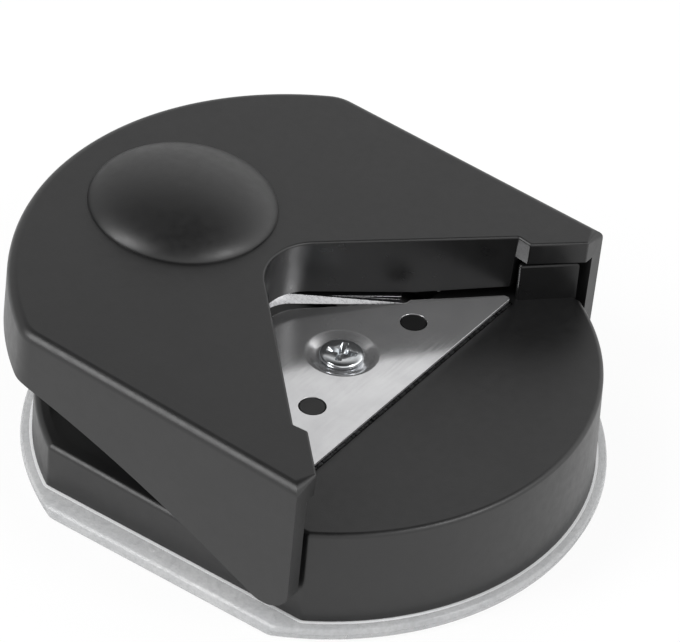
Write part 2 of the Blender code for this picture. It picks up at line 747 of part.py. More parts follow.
def below_skirt():
    """What lies below the cover's side walls: a round lobe at the hinge, then a rising curve."""
    start = Vector((math.sin(SKIRT_RISE), -math.cos(SKIRT_RISE))) * LOBE_RADIUS
    level = LEVER_RISE - SKIRT_BACK_DEPTH
    bend_rise = (SKIRT_BEND_REACH - start.x) * math.tan(SKIRT_RISE)
    bend = Vector((SKIRT_BEND_REACH, start.y + bend_rise))
    end = Vector((SKIRT_LEVEL_REACH, level))
    lobe = arc((0, 0), LOBE_RADIUS, -180, math.degrees(SKIRT_RISE) - 90, FILLET_STEPS)
    edge = []
    for i in range(1, SKIRT_STEPS + 1):
        t = i / SKIRT_STEPS
        edge.append(tuple(start * (1 - t) ** 2 + bend * 2 * t * (1 - t) + end * t**2))
    far = LEVER_ARC_Y + LEVER_BACK_RADIUS + OVERRUN
    deep = -LOBE_RADIUS - OVERRUN
    near = -LOBE_RADIUS - OVERRUN
    upper = [(near, 0), *lobe, *edge, (far, level)]
    outline = [(near, deep), (far, deep)] + upper[::-1]
    return turn_across(prism("below_skirt", outline, -LEVER_FLAT - OVERRUN, LEVER_FLAT + OVERRUN))


def below_notch_walls():
    """What lies below the notch's walls and the arms' lips, between the side walls."""
    reach = NOTCH_CORNER + NOTCH_WALL_DEPTH
    front = -LOBE_RADIUS - OVERRUN
    step = notch_side(NOTCH_CORNER, ARM_STEP_X)
    bend = notch_side(NOTCH_CORNER, NOTCH_WALL_BEND_X)
    deep = -LOBE_RADIUS - OVERRUN
    outline = [
        (front, deep),
        (reach, deep),
        (reach, LEVER_RISE - NOTCH_WALL_APEX),
        (NOTCH_CORNER, LEVER_RISE - NOTCH_WALL_APEX),
        (bend, LEVER_RISE - NOTCH_WALL_DEEPEST),
        (step, LEVER_RISE - NOTCH_WALL_END),
        (step, LEVER_RISE - ARM_LIP),
        (front, LEVER_RISE - ARM_LIP),
    ]
    return turn_across(prism("below_notch_walls", outline, -LEVER_INNER_FLAT, LEVER_INNER_FLAT))


def crown_rings(radius, low, height):
    """Rings of a crown that starts upright and flattens to its top."""
    rings = []
    for i in range(DOME_STEPS):
        turn = math.pi / 2 * i / DOME_STEPS
        outline = circle(radius * math.cos(turn), (0, DOME_REACH), DOME_SIDES)
        rings.append((outline, low + height * math.sin(turn)))
    return rings


def thumb_dome():
    foot = circle(DOME_RADIUS, (0, DOME_REACH), DOME_SIDES)
    crown = crown_rings(DOME_RADIUS, LEVER_RISE, DOME_HEIGHT)
    return loft("thumb_dome", [(foot, LEVER_RISE - LEVER_ROOF / 2), *crown[1:]])


def dome_hollow():
    """The hollow under the thumb dome, which keeps its wall even."""
    radius = DOME_RADIUS - LEVER_WALL
    mouth = circle(radius, (0, DOME_REACH), DOME_SIDES)
    crown = crown_rings(radius, ROOF_UNDERSIDE, DOME_HEIGHT)
    return loft("dome_hollow", [(mouth, ROOF_UNDERSIDE - OVERRUN), *crown])


def lever_cover(made_of, lever_pivot):
    outline, edges = cover_outline(LEVER_FRONT)
    lower, _ = cover_outline(LEVER_FRONT + (LEVER_RISE + LOBE_RADIUS) * math.tan(FRONT_DRAFT))
    rings = edge_rings(outline, -LOBE_RADIUS, LEVER_RISE, edges)
    cover = loft("lever_cover", [(lower, -LOBE_RADIUS), *rings[1:]])
    cover.parent = lever_pivot
    add(cover, thumb_dome())
    cut(
        cover,
        prism("cover_hollow", cover_hollow_outline(), -LOBE_RADIUS - OVERRUN, ROOF_UNDERSIDE),
        below_notch_walls(),
        below_skirt(),
        dome_hollow(),
    )
    collar = circle(POST_COLLAR_RADIUS, (0, DOME_REACH), POST_SIDES)
    inside = LEVER_RISE + DOME_HEIGHT - LEVER_ROOF / 2
    collar_low = ROOF_UNDERSIDE - POST_COLLAR_DROP
    rib_high = ROOF_UNDERSIDE + LEVER_ROOF / 2
    add(
        cover,
        prism("post_collar", collar, collar_low, inside),
        rod("spring_post", POST_RADIUS, post_bottom(), rib_high, (0, DOME_REACH)),
    )
    rib_low = ROOF_UNDERSIDE - ROOF_RIB_DEPTH
    post_rib_low = ROOF_UNDERSIDE - POST_RIB_DEPTH
    half = ROOF_RIB_THICKNESS / 2
    for side, word in ((-1, "left"), (1, "right")):
        x = side * ROOF_RIB_X
        back = LEVER_ARC_Y + math.sqrt((LEVER_BACK_RADIUS - LEVER_WALL) ** 2 - ROOF_RIB_X**2)
        front = notch_side(NOTCH_CORNER + LEVER_WALL, ROOF_RIB_X)
        rib = box(f"roof_rib_{word}", (x - half, x + half), (front, back + half), (rib_low, rib_high))
        near_post = side * (POST_COLLAR_RADIUS + POST_COLLAR_DROP)
        ends = (near_post, side * (LEVER_INNER_FLAT + LEVER_WALL / 4))
        span = box(
            f"post_rib_{word}",
            (min(ends), max(ends)),
            (DOME_REACH - half, DOME_REACH + half),
            (post_rib_low, ROOF_UNDERSIDE + LEVER_ROOF / 3),
        )
        add(cover, rib, span)
    sockets = []
    for side, word in ((-1, "left"), (1, "right")):
        add(cover, blade_boss(f"blade_boss_{word}", side))
        sockets.append(blade_boss_hole(f"blade_boss_hole_{word}", side))
    ends = LEVER_INNER_FLAT + PIN_SOCKET
    pin_sockets = turn_across(prism("pin_sockets", circle(PIN_HOLE_RADIUS), -ends, ends))
    cut(cover, pin_sockets, *sockets)
    return finish(cover, made_of)


def post_bottom():
    """The post meets the base's stub when the lever is fully pressed."""
    drop = STUB_TOP + TOUCH_GAP - HINGE_Z + DOME_REACH * math.sin(BLADE_TILT)
    return drop / math.cos(BLADE_TILT)


def tilt_to_cover(obj):
    """Moves a solid built in the blade's frame to the cover's."""
    obj.data.transform(Matrix.Rotation(BLADE_TILT, 4, "X"))
    return obj


def blade_boss(name, side):
    """A boss under the roof, square to the blade, that the blade is screwed up to."""
    roof = ROOF_UNDERSIDE + LEVER_ROOF / 2
    high = (roof - BLADE_SCREW_REACH * math.sin(BLADE_TILT)) / math.cos(BLADE_TILT)
    at = (side * BLADE_SCREW_X, BLADE_SCREW_REACH)
    return tilt_to_cover(rod(name, BLADE_BOSS_RADIUS, BLADE_TOP + STACK_GAP, high, at))


def blade_boss_hole(name, side):
    depth = BLADE_SCREW_LENGTH + TOUCH_GAP
    at = (side * BLADE_SCREW_X, BLADE_SCREW_REACH)
    low = BLADE_TOP - OVERRUN
    return tilt_to_cover(rod(name, BLADE_SHANK_RADIUS + HOLE_PLAY, low, BLADE_BOTTOM + depth, at))


def blade_corner():
    """Where the blade's V would meet, so that its arms just clear the die as they pass it."""
    passing = Vector((DIE_CORNER + BLADE_GAP - BLADE_ARM_X - HINGE_Y, TABLE - HINGE_Z))
    return math.sqrt(passing.length_squared - BLADE_BOTTOM**2) + BLADE_ARM_X


def blade_outline():
    corner = blade_corner()
    inner = (BLADE_ARM_X, corner - BLADE_ARM_X)
    spread = BLADE_ARM_WIDTH / math.sqrt(2)
    outer = (inner[0] + spread, inner[1] + spread)
    side = (outer[0], outer[1] + BLADE_SIDE_LENGTH)
    back = (BLADE_BACK_HALF, BLADE_BACK_REACH)
    return both_sides([inner, outer, side, back], []) + v_apex(corner, CUT_RADIUS)


def blade(made_of, blade_pivot):
    made = prism("blade", blade_outline(), BLADE_BOTTOM, BLADE_TOP)
    made.parent = blade_pivot
    for side, word in ((-1, "left"), (1, "right")):
        at = (side * BLADE_SCREW_X, BLADE_SCREW_REACH)
        radius = BLADE_SHANK_RADIUS + HOLE_PLAY
        cut(made, rod(f"blade_hole_{word}", radius, BLADE_BOTTOM - OVERRUN, BLADE_TOP + OVERRUN, at))
    return finish(made, made_of)


def blade_screw(name, side, made_of, blade_pivot):
    at = (side * BLADE_SCREW_X, BLADE_SCREW_REACH, BLADE_BOTTOM - STACK_GAP)
    made = screw(
        name,
        BLADE_HEAD_RADIUS,
        BLADE_HEAD_HEIGHT,
        BLADE_SHANK_RADIUS,
        BLADE_SCREW_LENGTH,
        at,
        False,
    )
    made.parent = blade_pivot
    for modifier in made.modifiers:
        modifier.object.parent = blade_pivot
    return finish(made, made_of)


def spring_points():
    """The spring's centre line: close end turns and an even pitch between them."""
    low = TUB_BOTTOM + STACK_GAP + SPRING_WIRE / 2
    lean = (SPRING_RADIUS + SPRING_WIRE / 2) * math.sin(LEVER_TILT)
    seat = (ROOF_UNDERSIDE - POST_COLLAR_DROP) * math.cos(LEVER_TILT)
    high = HINGE_Z + seat + DOME_REACH * math.sin(LEVER_TILT) - lean - STACK_GAP - SPRING_WIRE / 2
    end_pitch = SPRING_WIRE + SPRING_END_GAP
    pitch = (high - low - 2 * end_pitch) / (SPRING_TURNS - 2)
    points = []
    height = low
    for i in range(SPRING_TURNS * POINTS_PER_TURN + 1):
        turn = 2 * math.pi * i / POINTS_PER_TURN
        place = (SPRING_RADIUS * math.cos(turn), SPRING_Y + SPRING_RADIUS * math.sin(turn))
        points.append(Vector((*place, height)))
        at_end = i < POINTS_PER_TURN or i >= (SPRING_TURNS - 1) * POINTS_PER_TURN
        height += (end_pitch if at_end else pitch) / POINTS_PER_TURN
    return points


def least_gap(points):
    """The smallest gap between the wire's turns, measured between points over half a turn apart."""
    apart = POINTS_PER_TURN // 2
    nearest = min(
        (points[j] - points[i]).length
        for i in range(len(points))
        for j in range(i + apart, len(points))
    )
    return nearest - SPRING_WIRE


def return_spring(made_of):
    points = spring_points()
    print(f"least gap between the spring's turns: {least_gap(points) * 1000:.2f} mm")
    curve = bpy.data.curves.new("return_spring", "CURVE")
    curve.dimensions = "3D"
    curve.bevel_depth = SPRING_WIRE / 2
    curve.bevel_resolution = 1
    curve.use_fill_caps = True
    spline = curve.splines.new("POLY")
    spline.points.add(len(points) - 1)
    for target, point in zip(spline.points, points):
        target.co = (*point, 1.0)
    spline.use_smooth = True
    curve.materials.append(made_of)
    obj = bpy.data.objects.new("return_spring", curve)
    bpy.context.collection.objects.link(obj)
    return obj


def pivot(name, tilt):
    """An empty on the hinge pin's axis, tilted about it."""
    empty = bpy.data.objects.new(name, None)
    bpy.context.collection.objects.link(empty)
    empty.location = (0, HINGE_Y, HINGE_Z)
    empty.rotation_euler = (tilt, 0, 0)
    return empty


def build():
    clear_scene()
    black = material("black_moulding", (0.03, 0.03, 0.03), 0.35)
    clear = material("clear_moulding", (0.80, 0.82, 0.84), 0.2, alpha=0.45)
    tool_steel = material("tool_steel", (0.40, 0.40, 0.41), 0.35, 1.0)
    polished = material("polished_steel", (0.70, 0.70, 0.70), 0.12, 1.0)
    plated = material("plated_steel", (0.78, 0.79, 0.80), 0.15, 1.0)
    chip_tray(clear)
    base_housing(black)
    die_plate(tool_steel)
    card_plate(polished)
    plate_screw(plated)
    hinge_pin(plated)
    lever_pivot = pivot("lever_pivot", LEVER_TILT)
    blade_pivot = pivot("blade_pivot", PRESS_TRAVEL)
    lever_cover(black, lever_pivot)
    blade(tool_steel, blade_pivot)
    for side, word in ((-1, "left"), (1, "right")):
        blade_screw(f"blade_screw_{word}", side, plated, blade_pivot)
    return_spring(plated)


build()
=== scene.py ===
"""Looks of the corner rounder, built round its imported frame.

The two black mouldings, the card plate, the blade, the screws, the return spring and the clear
tray are made again here with fine rounds, at the frame's own places. The die plate and the hinge
pin keep the frame's meshes. The lever's pieces are built about the hinge pin and then turned to
the lever's rest tilt. Metres, +Z up, +Y towards the thumb dome.
"""

import math

import bmesh
import bpy
import numpy as np
from mathutils import Matrix, Vector


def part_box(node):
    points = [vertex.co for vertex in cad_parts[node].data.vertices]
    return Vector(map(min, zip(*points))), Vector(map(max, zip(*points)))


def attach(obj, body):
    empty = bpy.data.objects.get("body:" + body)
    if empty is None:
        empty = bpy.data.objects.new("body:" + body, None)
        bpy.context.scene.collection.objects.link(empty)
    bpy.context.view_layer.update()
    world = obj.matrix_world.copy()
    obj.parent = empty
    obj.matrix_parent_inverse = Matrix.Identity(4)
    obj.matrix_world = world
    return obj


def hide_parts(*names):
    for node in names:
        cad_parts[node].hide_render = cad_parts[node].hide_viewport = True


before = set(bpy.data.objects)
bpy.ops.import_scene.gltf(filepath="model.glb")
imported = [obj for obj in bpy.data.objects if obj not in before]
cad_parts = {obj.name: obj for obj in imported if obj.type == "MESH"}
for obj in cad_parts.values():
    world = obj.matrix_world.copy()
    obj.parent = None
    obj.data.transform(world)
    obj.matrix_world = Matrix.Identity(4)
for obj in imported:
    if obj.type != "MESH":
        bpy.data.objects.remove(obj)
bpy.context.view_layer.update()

# Places taken from the frame
BASE_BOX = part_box("base_housing")
TRAY_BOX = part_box("chip_tray")
DIE_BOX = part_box("die_plate")
PLATE_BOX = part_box("card_plate")
PIN_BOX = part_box("hinge_pin")
BASE_RADIUS = -BASE_BOX[0].y
BASE_FLAT = BASE_BOX[1].x
BASE_UNDERSIDE = BASE_BOX[0].z
STOP_TOP = BASE_BOX[1].z
TABLE = DIE_BOX[1].z
DIE_BOTTOM = DIE_BOX[0].z
PLATES_HALF = DIE_BOX[1].x
DIE_FRONT_Y = DIE_BOX[0].y
PLATE_FRONT_Y = PLATE_BOX[0].y
PLATE_TOP = PLATE_BOX[1].z
TRAY_RADIUS = -TRAY_BOX[0].y
TRAY_FLAT = TRAY_BOX[1].x
TRAY_WALL_TOP = TRAY_BOX[1].z
HINGE_Y = (PIN_BOX[0].y + PIN_BOX[1].y) / 2
HINGE_Z = (PIN_BOX[0].z + PIN_BOX[1].z) / 2
PIN_RADIUS = (PIN_BOX[1].z - PIN_BOX[0].z) / 2

# Corner that is cut
CARD_CORNER = 0.00966
CUT_RADIUS = 0.0050

# Gaps between pieces, and how far a cut runs past what it cuts
STACK_GAP = 0.00015
TOUCH_GAP = 0.0003
OVERRUN = 0.002

# The two sides, each with the sign of its x and its word
SIDES = ((-1, "left"), (1, "right"))

# Base moulding
BASE_DRAFT = math.radians(1.6)
BASE_WALL = 0.0018
BASE_CORNER_ROUND = 0.0010
BACK_TRIM = 0.00045
TABLE_EDGE = 0.0006
DECK_THICKNESS = 0.0020
POCKET_GAP = 0.00015
POCKET_FLOOR = 0.0016
TUB_FLOOR = 0.0010
TUB_RIM = 0.00525
TUB_RIM_SLOPE = math.radians(2.0)
TUB_RIM_EDGE = 0.00075
RIM_SEAM = 0.00002
SHOULDER_Y = -0.0047
DIE_MARGIN = 0.0002
DIE_OVERHANG = 0.0008
WINDOW_HALF = 0.0100
WINDOW_MARGIN = 0.0016
FLOOR_RIB_X = 0.0170
FLOOR_RIB_HEIGHT = 0.0010
RIB_THICKNESS = 0.0012
STOP_REACH = 0.00595
STOP_INSET = 0.00005
STOP_ROUND = 0.00045
STOP_EDGE = 0.0004
PIN_PLAY = 0.00006
PIN_BOSS_RADIUS = 0.0030
PIN_BOSS_LENGTH = 0.0060
PIN_SADDLE_X = 0.0090
PIN_SADDLE_THICKNESS = 0.0016
PEG_RADIUS = 0.00145
PEG_BELOW_PLATE_TOP = 0.00006
PEG_ACROSS_SHARE = 0.472
PEG_FORWARD_SHARE = 0.5
HOLE_PLAY = 0.00015

# Plates and their screw
PLATE_THICKNESS = 0.0004
WING_MARGIN = 0.0001
RECESS_DEPTH = 0.0007
RECESS_HALF = 0.0125
RECESS_STEP = 0.0008
PLATE_TIP_ROUND = 0.0004
SCREW_Y = -0.00314
DISH_RADIUS = 0.0045
DISH_FLOOR_RADIUS = 0.0027
DISH_DEPTH = 0.0006
DISH_LAP = 0.0001
DISH_RIM_LIFT = 0.000003
HEAD_RADIUS = 0.00262
HEAD_HEIGHT = 0.00065
HEAD_FOOT_SHARES = (0.96, 0.1)
HEAD_SIDE_SHARE = 0.4
HEAD_FLATNESS = 0.3
SHANK_RADIUS = 0.0011
SCREW_LENGTH = 0.0080
SCREW_TIP_SHARE = 0.6
SCREW_BOSS_RADIUS = 0.0030
SCREW_BOSS_HEIGHT = 0.0045
DRIVE_LENGTH = 0.0035
DRIVE_WIDTH = 0.00075
DRIVE_DEPTH = 0.00085
DRIVE_FLOOR_SHARES = (0.45, 0.7)
THREAD_PITCH = 0.0005
THREAD_HEIGHT = 0.00012
THREAD_POINTS_PER_TURN = 24.0
THREAD_SIDES = 6
SCREW_TURN = math.radians(20)

# Lever cover, about the hinge pin
LEVER_TILT = math.radians(3.53)
PRESS_TRAVEL = math.radians(6.5)
SIDE_GAP = 0.00082
LEVER_OVER_TABLE = 0.00874
LEVER_WALL = 0.0020
LEVER_ROOF = 0.0020
LEVER_OVERHANG = 0.00328
LEVER_BACK_CENTRE_Y = 0.00013
LEVER_EDGE = 0.0012
NOTCH_EDGE = 0.0003
LEVER_FRONT = 0.00273
FRONT_DRAFT = math.radians(2.2)
LEVER_BACK_ROUND = 0.0045
NOTCH_MARGIN = 0.00068
NOTCH_SPREAD = math.radians(1.18)
NOTCH_RADIUS = 0.0070
ARM_HEAD = 0.00827
ARM_STEP = 0.00204
ARM_STEP_SLANT = 0.0002
ARM_STEP_ROUND = 0.00035
ARM_LIP = 0.0029
NOTCH_WALL_APEX = 0.00696
NOTCH_WALL_DEEPEST = 0.00790
NOTCH_WALL_END = 0.00745
NOTCH_WALL_BEND_X = 0.0140
LOBE_RADIUS = 0.00355
SKIRT_BACK_DEPTH = 0.0074
SKIRT_LEVEL_REACH = 0.0345
SKIRT_BEND_REACH = 0.0196
SKIRT_RISE = math.radians(23.4)
PIN_SOCKET = 0.0013
ROOF_RIB_X = 0.0180
ROOF_RIB_DEPTH = 0.0035
POST_RIB_DEPTH = 0.0045

# Thumb dome
DOME_INSET = 0.0121
DOME_RADIUS = 0.01115
DOME_HEIGHT = 0.0033
DOME_FULLNESS = 1.25

# Blade and its screws
BLADE_THICKNESS = 0.0007
BLADE_DEPTH = 0.0015
BLADE_GAP = 0.0002
BLADE_SET_BACK = 0.0010
EDGE_DEPTH = 0.0020
EDGE_RISE = 0.0010
EDGE_END_RISE = 0.00015
EDGE_LEAN = math.radians(40)
BLADE_ARM_X = 0.0133
BLADE_ARM_WIDTH = 0.0060
BLADE_SIDE_LENGTH = 0.0040
BLADE_BACK_HALF = 0.0095
BLADE_BACK_GAP = 0.0006
BLADE_SCREW_X = 0.0115
BLADE_SCREW_INSET = 0.00334
BLADE_BOSS_RADIUS = 0.0030
BLADE_HEAD_SHARE = 0.88
BLADE_SHANK_RADIUS = 0.0010
BLADE_SCREW_LENGTH = 0.0055

# Return spring
SPRING_LEAD = 0.0003
SPRING_RADIUS = 0.0039
SPRING_WIRE = 0.0008
SPRING_TURNS = 7
SPRING_END_GAP = 0.0005
SPRING_POINTS_PER_TURN = 40.0
SPRING_WIRE_SIDES = 16
STUB_RADIUS = 0.0026
STUB_HEIGHT = 0.0042
SEAT_RING_RADIUS = 0.0060
SEAT_RING_HEIGHT = 0.0010
POST_RADIUS = 0.0022
POST_COLLAR_RADIUS = 0.0052
POST_COLLAR_DROP = 0.0006

# Clear tray
TRAY_FLANGE = 0.0018
TRAY_EDGE = 0.0003
TRAY_FOOT_SHARES = ((1, 0), (0.3, 1 / 3), (0, 1))
TRAY_FLAT_ROUND = 0.0013
TRAY_CORNER_ROUND = 0.0020
TRAY_FLOOR = 0.0010
TRAY_WALL = 0.0010
TRAY_FIT = 0.0002
# Width of the thin line along the base that carries a painted highlight
TRAY_LIT_EDGE = 0.0003

# Levels and places that follow
TUB_BOTTOM = TRAY_WALL_TOP + TOUCH_GAP + TUB_FLOOR
CHIP_CEILING = TUB_BOTTOM - TUB_FLOOR
POCKET_BOTTOM = DIE_BOTTOM - STACK_GAP
DECK_UNDER_POCKET = POCKET_BOTTOM - POCKET_FLOOR
BASE_HEIGHT = TABLE - BASE_UNDERSIDE
BASE_SHRINK = BASE_HEIGHT * math.tan(BASE_DRAFT)
BASE_INNER_RADIUS = BASE_RADIUS - BASE_WALL - BASE_SHRINK
BASE_INNER_FLAT = BASE_FLAT - BASE_WALL - BASE_SHRINK
DIE_CORNER = CARD_CORNER + DIE_MARGIN
PENINSULA_CORNER = DIE_CORNER - DIE_OVERHANG * math.sqrt(2)
PLATE_BOTTOM = PLATE_TOP - PLATE_THICKNESS
DISH_TOP = PLATE_TOP - DISH_DEPTH
PEG_X = PLATES_HALF * PEG_ACROSS_SHARE
PEG_Y = DIE_FRONT_Y * PEG_FORWARD_SHARE
LEVER_RISE = TABLE - HINGE_Z + LEVER_OVER_TABLE
LEVER_FLAT = BASE_FLAT + SIDE_GAP + LEVER_WALL
LEVER_INNER_FLAT = LEVER_FLAT - LEVER_WALL
LEVER_BACK_RADIUS = BASE_RADIUS + LEVER_OVERHANG
LEVER_ARC_Y = LEVER_BACK_CENTRE_Y - HINGE_Y
NOTCH_CORNER = CARD_CORNER - HINGE_Y + NOTCH_MARGIN
ARM_STEP_X = LEVER_FLAT - ARM_HEAD
NOTCH_HALF = math.pi / 4 + NOTCH_SPREAD
NOTCH_SLOPE = 1 / math.tan(NOTCH_HALF)
NOTCH_WALL_DEPTH = LEVER_WALL / math.sin(NOTCH_HALF)
ROOF_UNDERSIDE = LEVER_RISE - LEVER_ROOF
BELOW_LOBE = -LOBE_RADIUS - OVERRUN
DOME_REACH = BASE_RADIUS - DOME_INSET - HINGE_Y
BLADE_TILT = PRESS_TRAVEL - LEVER_TILT
BLADE_BOTTOM = TABLE - HINGE_Z - BLADE_DEPTH
BLADE_TOP = BLADE_BOTTOM + BLADE_THICKNESS
BLADE_BACK_REACH = DOME_REACH - SPRING_RADIUS - SPRING_WIRE / 2 - BLADE_BACK_GAP
BLADE_SCREW_REACH = NOTCH_CORNER - BLADE_SCREW_INSET
SPRING_Y = HINGE_Y + DOME_REACH - SPRING_LEAD
WINDOW_BACK = SPRING_Y - SEAT_RING_RADIUS - WINDOW_MARGIN
STUB_TOP = TUB_BOTTOM + STUB_HEIGHT

# The lever's pieces are turned about the hinge pin by these
AT_HINGE = Matrix.Translation((0, HINGE_Y, HINGE_Z))
COVER_PLACE = AT_HINGE @ Matrix.Rotation(LEVER_TILT, 4, "X")
BLADE_PLACE = AT_HINGE @ Matrix.Rotation(PRESS_TRAVEL, 4, "X")
BLADE_TO_COVER = Matrix.Rotation(BLADE_TILT, 4, "X")

# Fineness of the rounds
BACK_STEPS = 120
APEX_STEPS = 28
CORNER_STEPS = 8
EDGE_STEPS = 6
ROUND_SIDES = 64
COLLAR_SIDES = 60
HEAD_STEPS = 9
DOME_SIDES = 160
DOME_STEPS = 28
SKIRT_STEPS = 40
FINE_EDGE = 0.00010
METAL_FINE_EDGE = 0.00005
COVER_FINE_EDGE = 0.00015
BASE_FINE_EDGE = 0.00020
FINE_STEPS = 2
BASE_FINE_STEPS = 3
SMOOTH_BELOW = math.radians(32)
LARGE_FACE_WEIGHT = 100
WELD = 0.000002

# Finishes, by the shader's inputs. A colour or number runs from a low to a high value over a
# noise, and a normal has bumps, each a noise, its strength and its depth. A noise has its
# blotches in a metre, its detail and, where it is a grain, its stretch along X, Y and Z.
ROLLED_GRAIN = (2600, 2.0, (0.06, 1, 1))
GROUND_GRAIN = (3800, 3.0, (1, 0.03, 1))
FINISHES = {
    # Black ABS from a spark-eroded mould: a fine even grain, and faint blotches in its gloss
    "grained_black": {
        "Base Color": ((180, 3.0), (0.0048, 0.0048, 0.0050), (0.0062, 0.0062, 0.0064)),
        "Roughness": ((900, 2.0), 0.38, 0.44),
        "IOR": 1.6,
        "Normal": (((5200, 1.0), 0.25, 0.00002), ((1300, 2.0), 0.10, 0.00003)),
    },
    # The same plastic where the mould is polished: the notch's walls and the card stops
    "polished_black": {
        "Base Color": ((220, 3.0), (0.0050, 0.0050, 0.0052), (0.0066, 0.0066, 0.0068)),
        "Roughness": ((500, 2.0), 0.27, 0.35),
        "IOR": 1.48,
        "Normal": (((420, 2.0), 0.20, 0.00004), ((4200, 1.0), 0.08, 0.00002)),
    },
    # Polished stainless sheet with a faint rolling grain along X
    "polished_sheet": {
        "Base Color": ((260, 3.0), (0.70, 0.70, 0.71), (0.78, 0.78, 0.79)),
        "Roughness": (ROLLED_GRAIN, 0.12, 0.19),
        "Metallic": 0.88,
        "Normal": ((ROLLED_GRAIN, 0.05, 0.00001), ((300, 1.0), 0.05, 0.00003)),
    },
    # Hardened steel with the marks of surface grinding
    "ground_steel": {
        "Base Color": (GROUND_GRAIN, (0.40, 0.40, 0.41), (0.56, 0.56, 0.57)),
        "Roughness": (GROUND_GRAIN, 0.22, 0.38),
        "Metallic": 1.0,
        "Normal": ((GROUND_GRAIN, 0.15, 0.00001),),
    },
    # Steel painted nearly black and given little gloss: painted shade on the blade's top, which
    # lies in the shadow under the cover's notch walls
    "dark_scale": {
        "Base Color": ((900, 3.0), (0.010, 0.010, 0.011), (0.018, 0.018, 0.019)),
        "Roughness": ((1600, 2.0), 0.42, 0.60),
        "Specular IOR Level": 0.12,
        "Normal": (((5000, 2.0), 0.20, 0.00002),),
    },
    # Bright zinc plating, a little uneven
    "bright_plating": {
        "Base Color": ((1500, 2.0), (0.80, 0.83, 0.86), (0.92, 0.94, 0.96)),
        "Roughness": ((2500, 2.0), 0.10, 0.22),
        "Metallic": 1.0,
        "Normal": (((1800, 2.0), 0.12, 0.00002),),
    },
    # Clear polystyrene, greyed by its thickness and lightly frosted by handling
    "clear_moulding": {
        "Base Color": ((160, 3.0), (0.41, 0.42, 0.43), (0.52, 0.525, 0.53)),
        "Roughness": ((700, 2.0), 0.12, 0.26),
        "IOR": 1.58,
        "Alpha": ((1400, 3.0), 0.46, 0.66),
        "Normal": (((600, 2.0), 0.25, 0.00005),),
    },
    # The same plastic painted near white and opaque: a painted highlight where light gathers and
    # leaves it, in a thin line along the base
    "lit_plastic": {
        "Base Color": ((300, 2.0), (0.90, 0.91, 0.92), (0.96, 0.965, 0.97)),
        "Roughness": 0.3,
        "IOR": 1.58,
    },
}

# Between which values nearly all of a noise lies
NOISE_SHARES = (0.3, 0.7)

# Where a piece's second material goes: how its faces' normals point, and where it begins
WALL_UPWARD_SHARE = 0.5
LEVEL_UPWARD_SHARE = 0.9
GROUND_FORWARD_SHARE = 0.3
GROUND_UPWARD_SHARE = 0.15
NOTCH_FRONT_SHARE = 0.9
STOPS_BEYOND_PEG_SHARE = 1.5

# Camera, fitted to the photograph: the image is 680 by 642 pixels
IMAGE_WIDTH = 680
FOCAL_PIXELS = 3799.0
SENSOR_MM = 36.0
CAMERA_AZIMUTH = math.radians(-57.243)
CAMERA_ELEVATION = math.radians(37.676)
CAMERA_ROLL = math.radians(4.562)
CAMERA_DISTANCE = 0.440402
CAMERA_TARGET_Z = 0.010
CAMERA_RIGHT = 0.002673
CAMERA_UP = 0.006329
CAMERA_NEAR_SHARE = 0.05
CAMERA_FAR_SHARE = 40

# Studio: how bright the surround is, and what share of white its gloss has at each height,
# in degrees above the horizon
WHITE = (1, 1, 1, 1)
SURROUND_LIGHT = 0.75
GLOSS_BY_HEIGHT_SHARES = (
    (0, 0.45),
    (6, 0.60),
    (12, 0.98),
    (22, 0.98),
    (30, 0.90),
    (38, 0.83),
    (46, 0.50),
    (54, 0.20),
    (68, 0.05),
    (85, 0.02),
)
GLOSS_TILT_SHARE = 0.5
SOFTBOX_RADIANCE = 7.0
SOFTBOX_WIDTH = 0.5
SOFTBOX_DISTANCE = 1.5
LEFT_SOFTBOX_TOWARDS = (-0.642, 0.449, 0.622)
LEFT_SOFTBOX_HEIGHT = 1.25
FRONT_SOFTBOX_TOWARDS = (0.10, -0.73, 0.68)
FRONT_SOFTBOX_HEIGHT = 0.5
FLOOR_SIZE = 6.0
FLOOR_GAP = 0.00005
FLOOR_COLOUR = (0.92, 0.92, 0.92, 1)
FLOOR_ROUGHNESS = 0.6
FLOOR_WHITE_SHARE = 0.9


# Outlines: lists of (x, y), counter-clockwise


def arc(centre, radius, start, end, steps):
    """Points on an arc with both its ends, from one angle to the other, in degrees."""
    angles = np.radians(np.linspace(start, end, steps + 1))
    return [(centre[0] + radius * math.cos(a), centre[1] + radius * math.sin(a)) for a in angles]


def circle(radius, centre=(0, 0), sides=ROUND_SIDES):
    return arc(centre, radius, 0, 360, sides)[:-1]


def quarter_turns(steps):
    """The angles from nought to a right angle in even steps, with both its ends."""
    return [math.pi / 2 * i / steps for i in range(steps + 1)]


def v_apex(corner, radius, half=math.pi / 4):
    """The rounded apex of an upright V, left to right, each side at an angle to its middle."""
    centre = (0, corner - radius / math.sin(half))
    return arc(centre, radius, 180 - math.degrees(half), math.degrees(half), APEX_STEPS)


def notch_side(corner, x):
    """How far back the notch's side is at a given x, where its two sides meet at a corner."""
    return corner - x * NOTCH_SLOPE


def both_sides(right, across):
    """An outline from its right side and the points from there across to its left side."""
    return [*right, *across, *((-x, y) for x, y in reversed(right))]


def corner_round(corner, before, after, radius):
    """The points of a round at a corner between two neighbours of the outline."""
    corner, before, after = (Vector(point) for point in (corner, before, after))
    back = (before - corner).normalized()
    on = (after - corner).normalized()
    half = back.angle(on) / 2
    centre = corner + (back + on).normalized() * (radius / math.sin(half))
    start = corner + back * (radius / math.tan(half)) - centre
    turn = (math.pi - 2 * half) * math.copysign(1, -back.cross(on))
    return [
        tuple(centre + Matrix.Rotation(turn * i / CORNER_STEPS, 2) @ start)
        for i in range(CORNER_STEPS + 1)
    ]


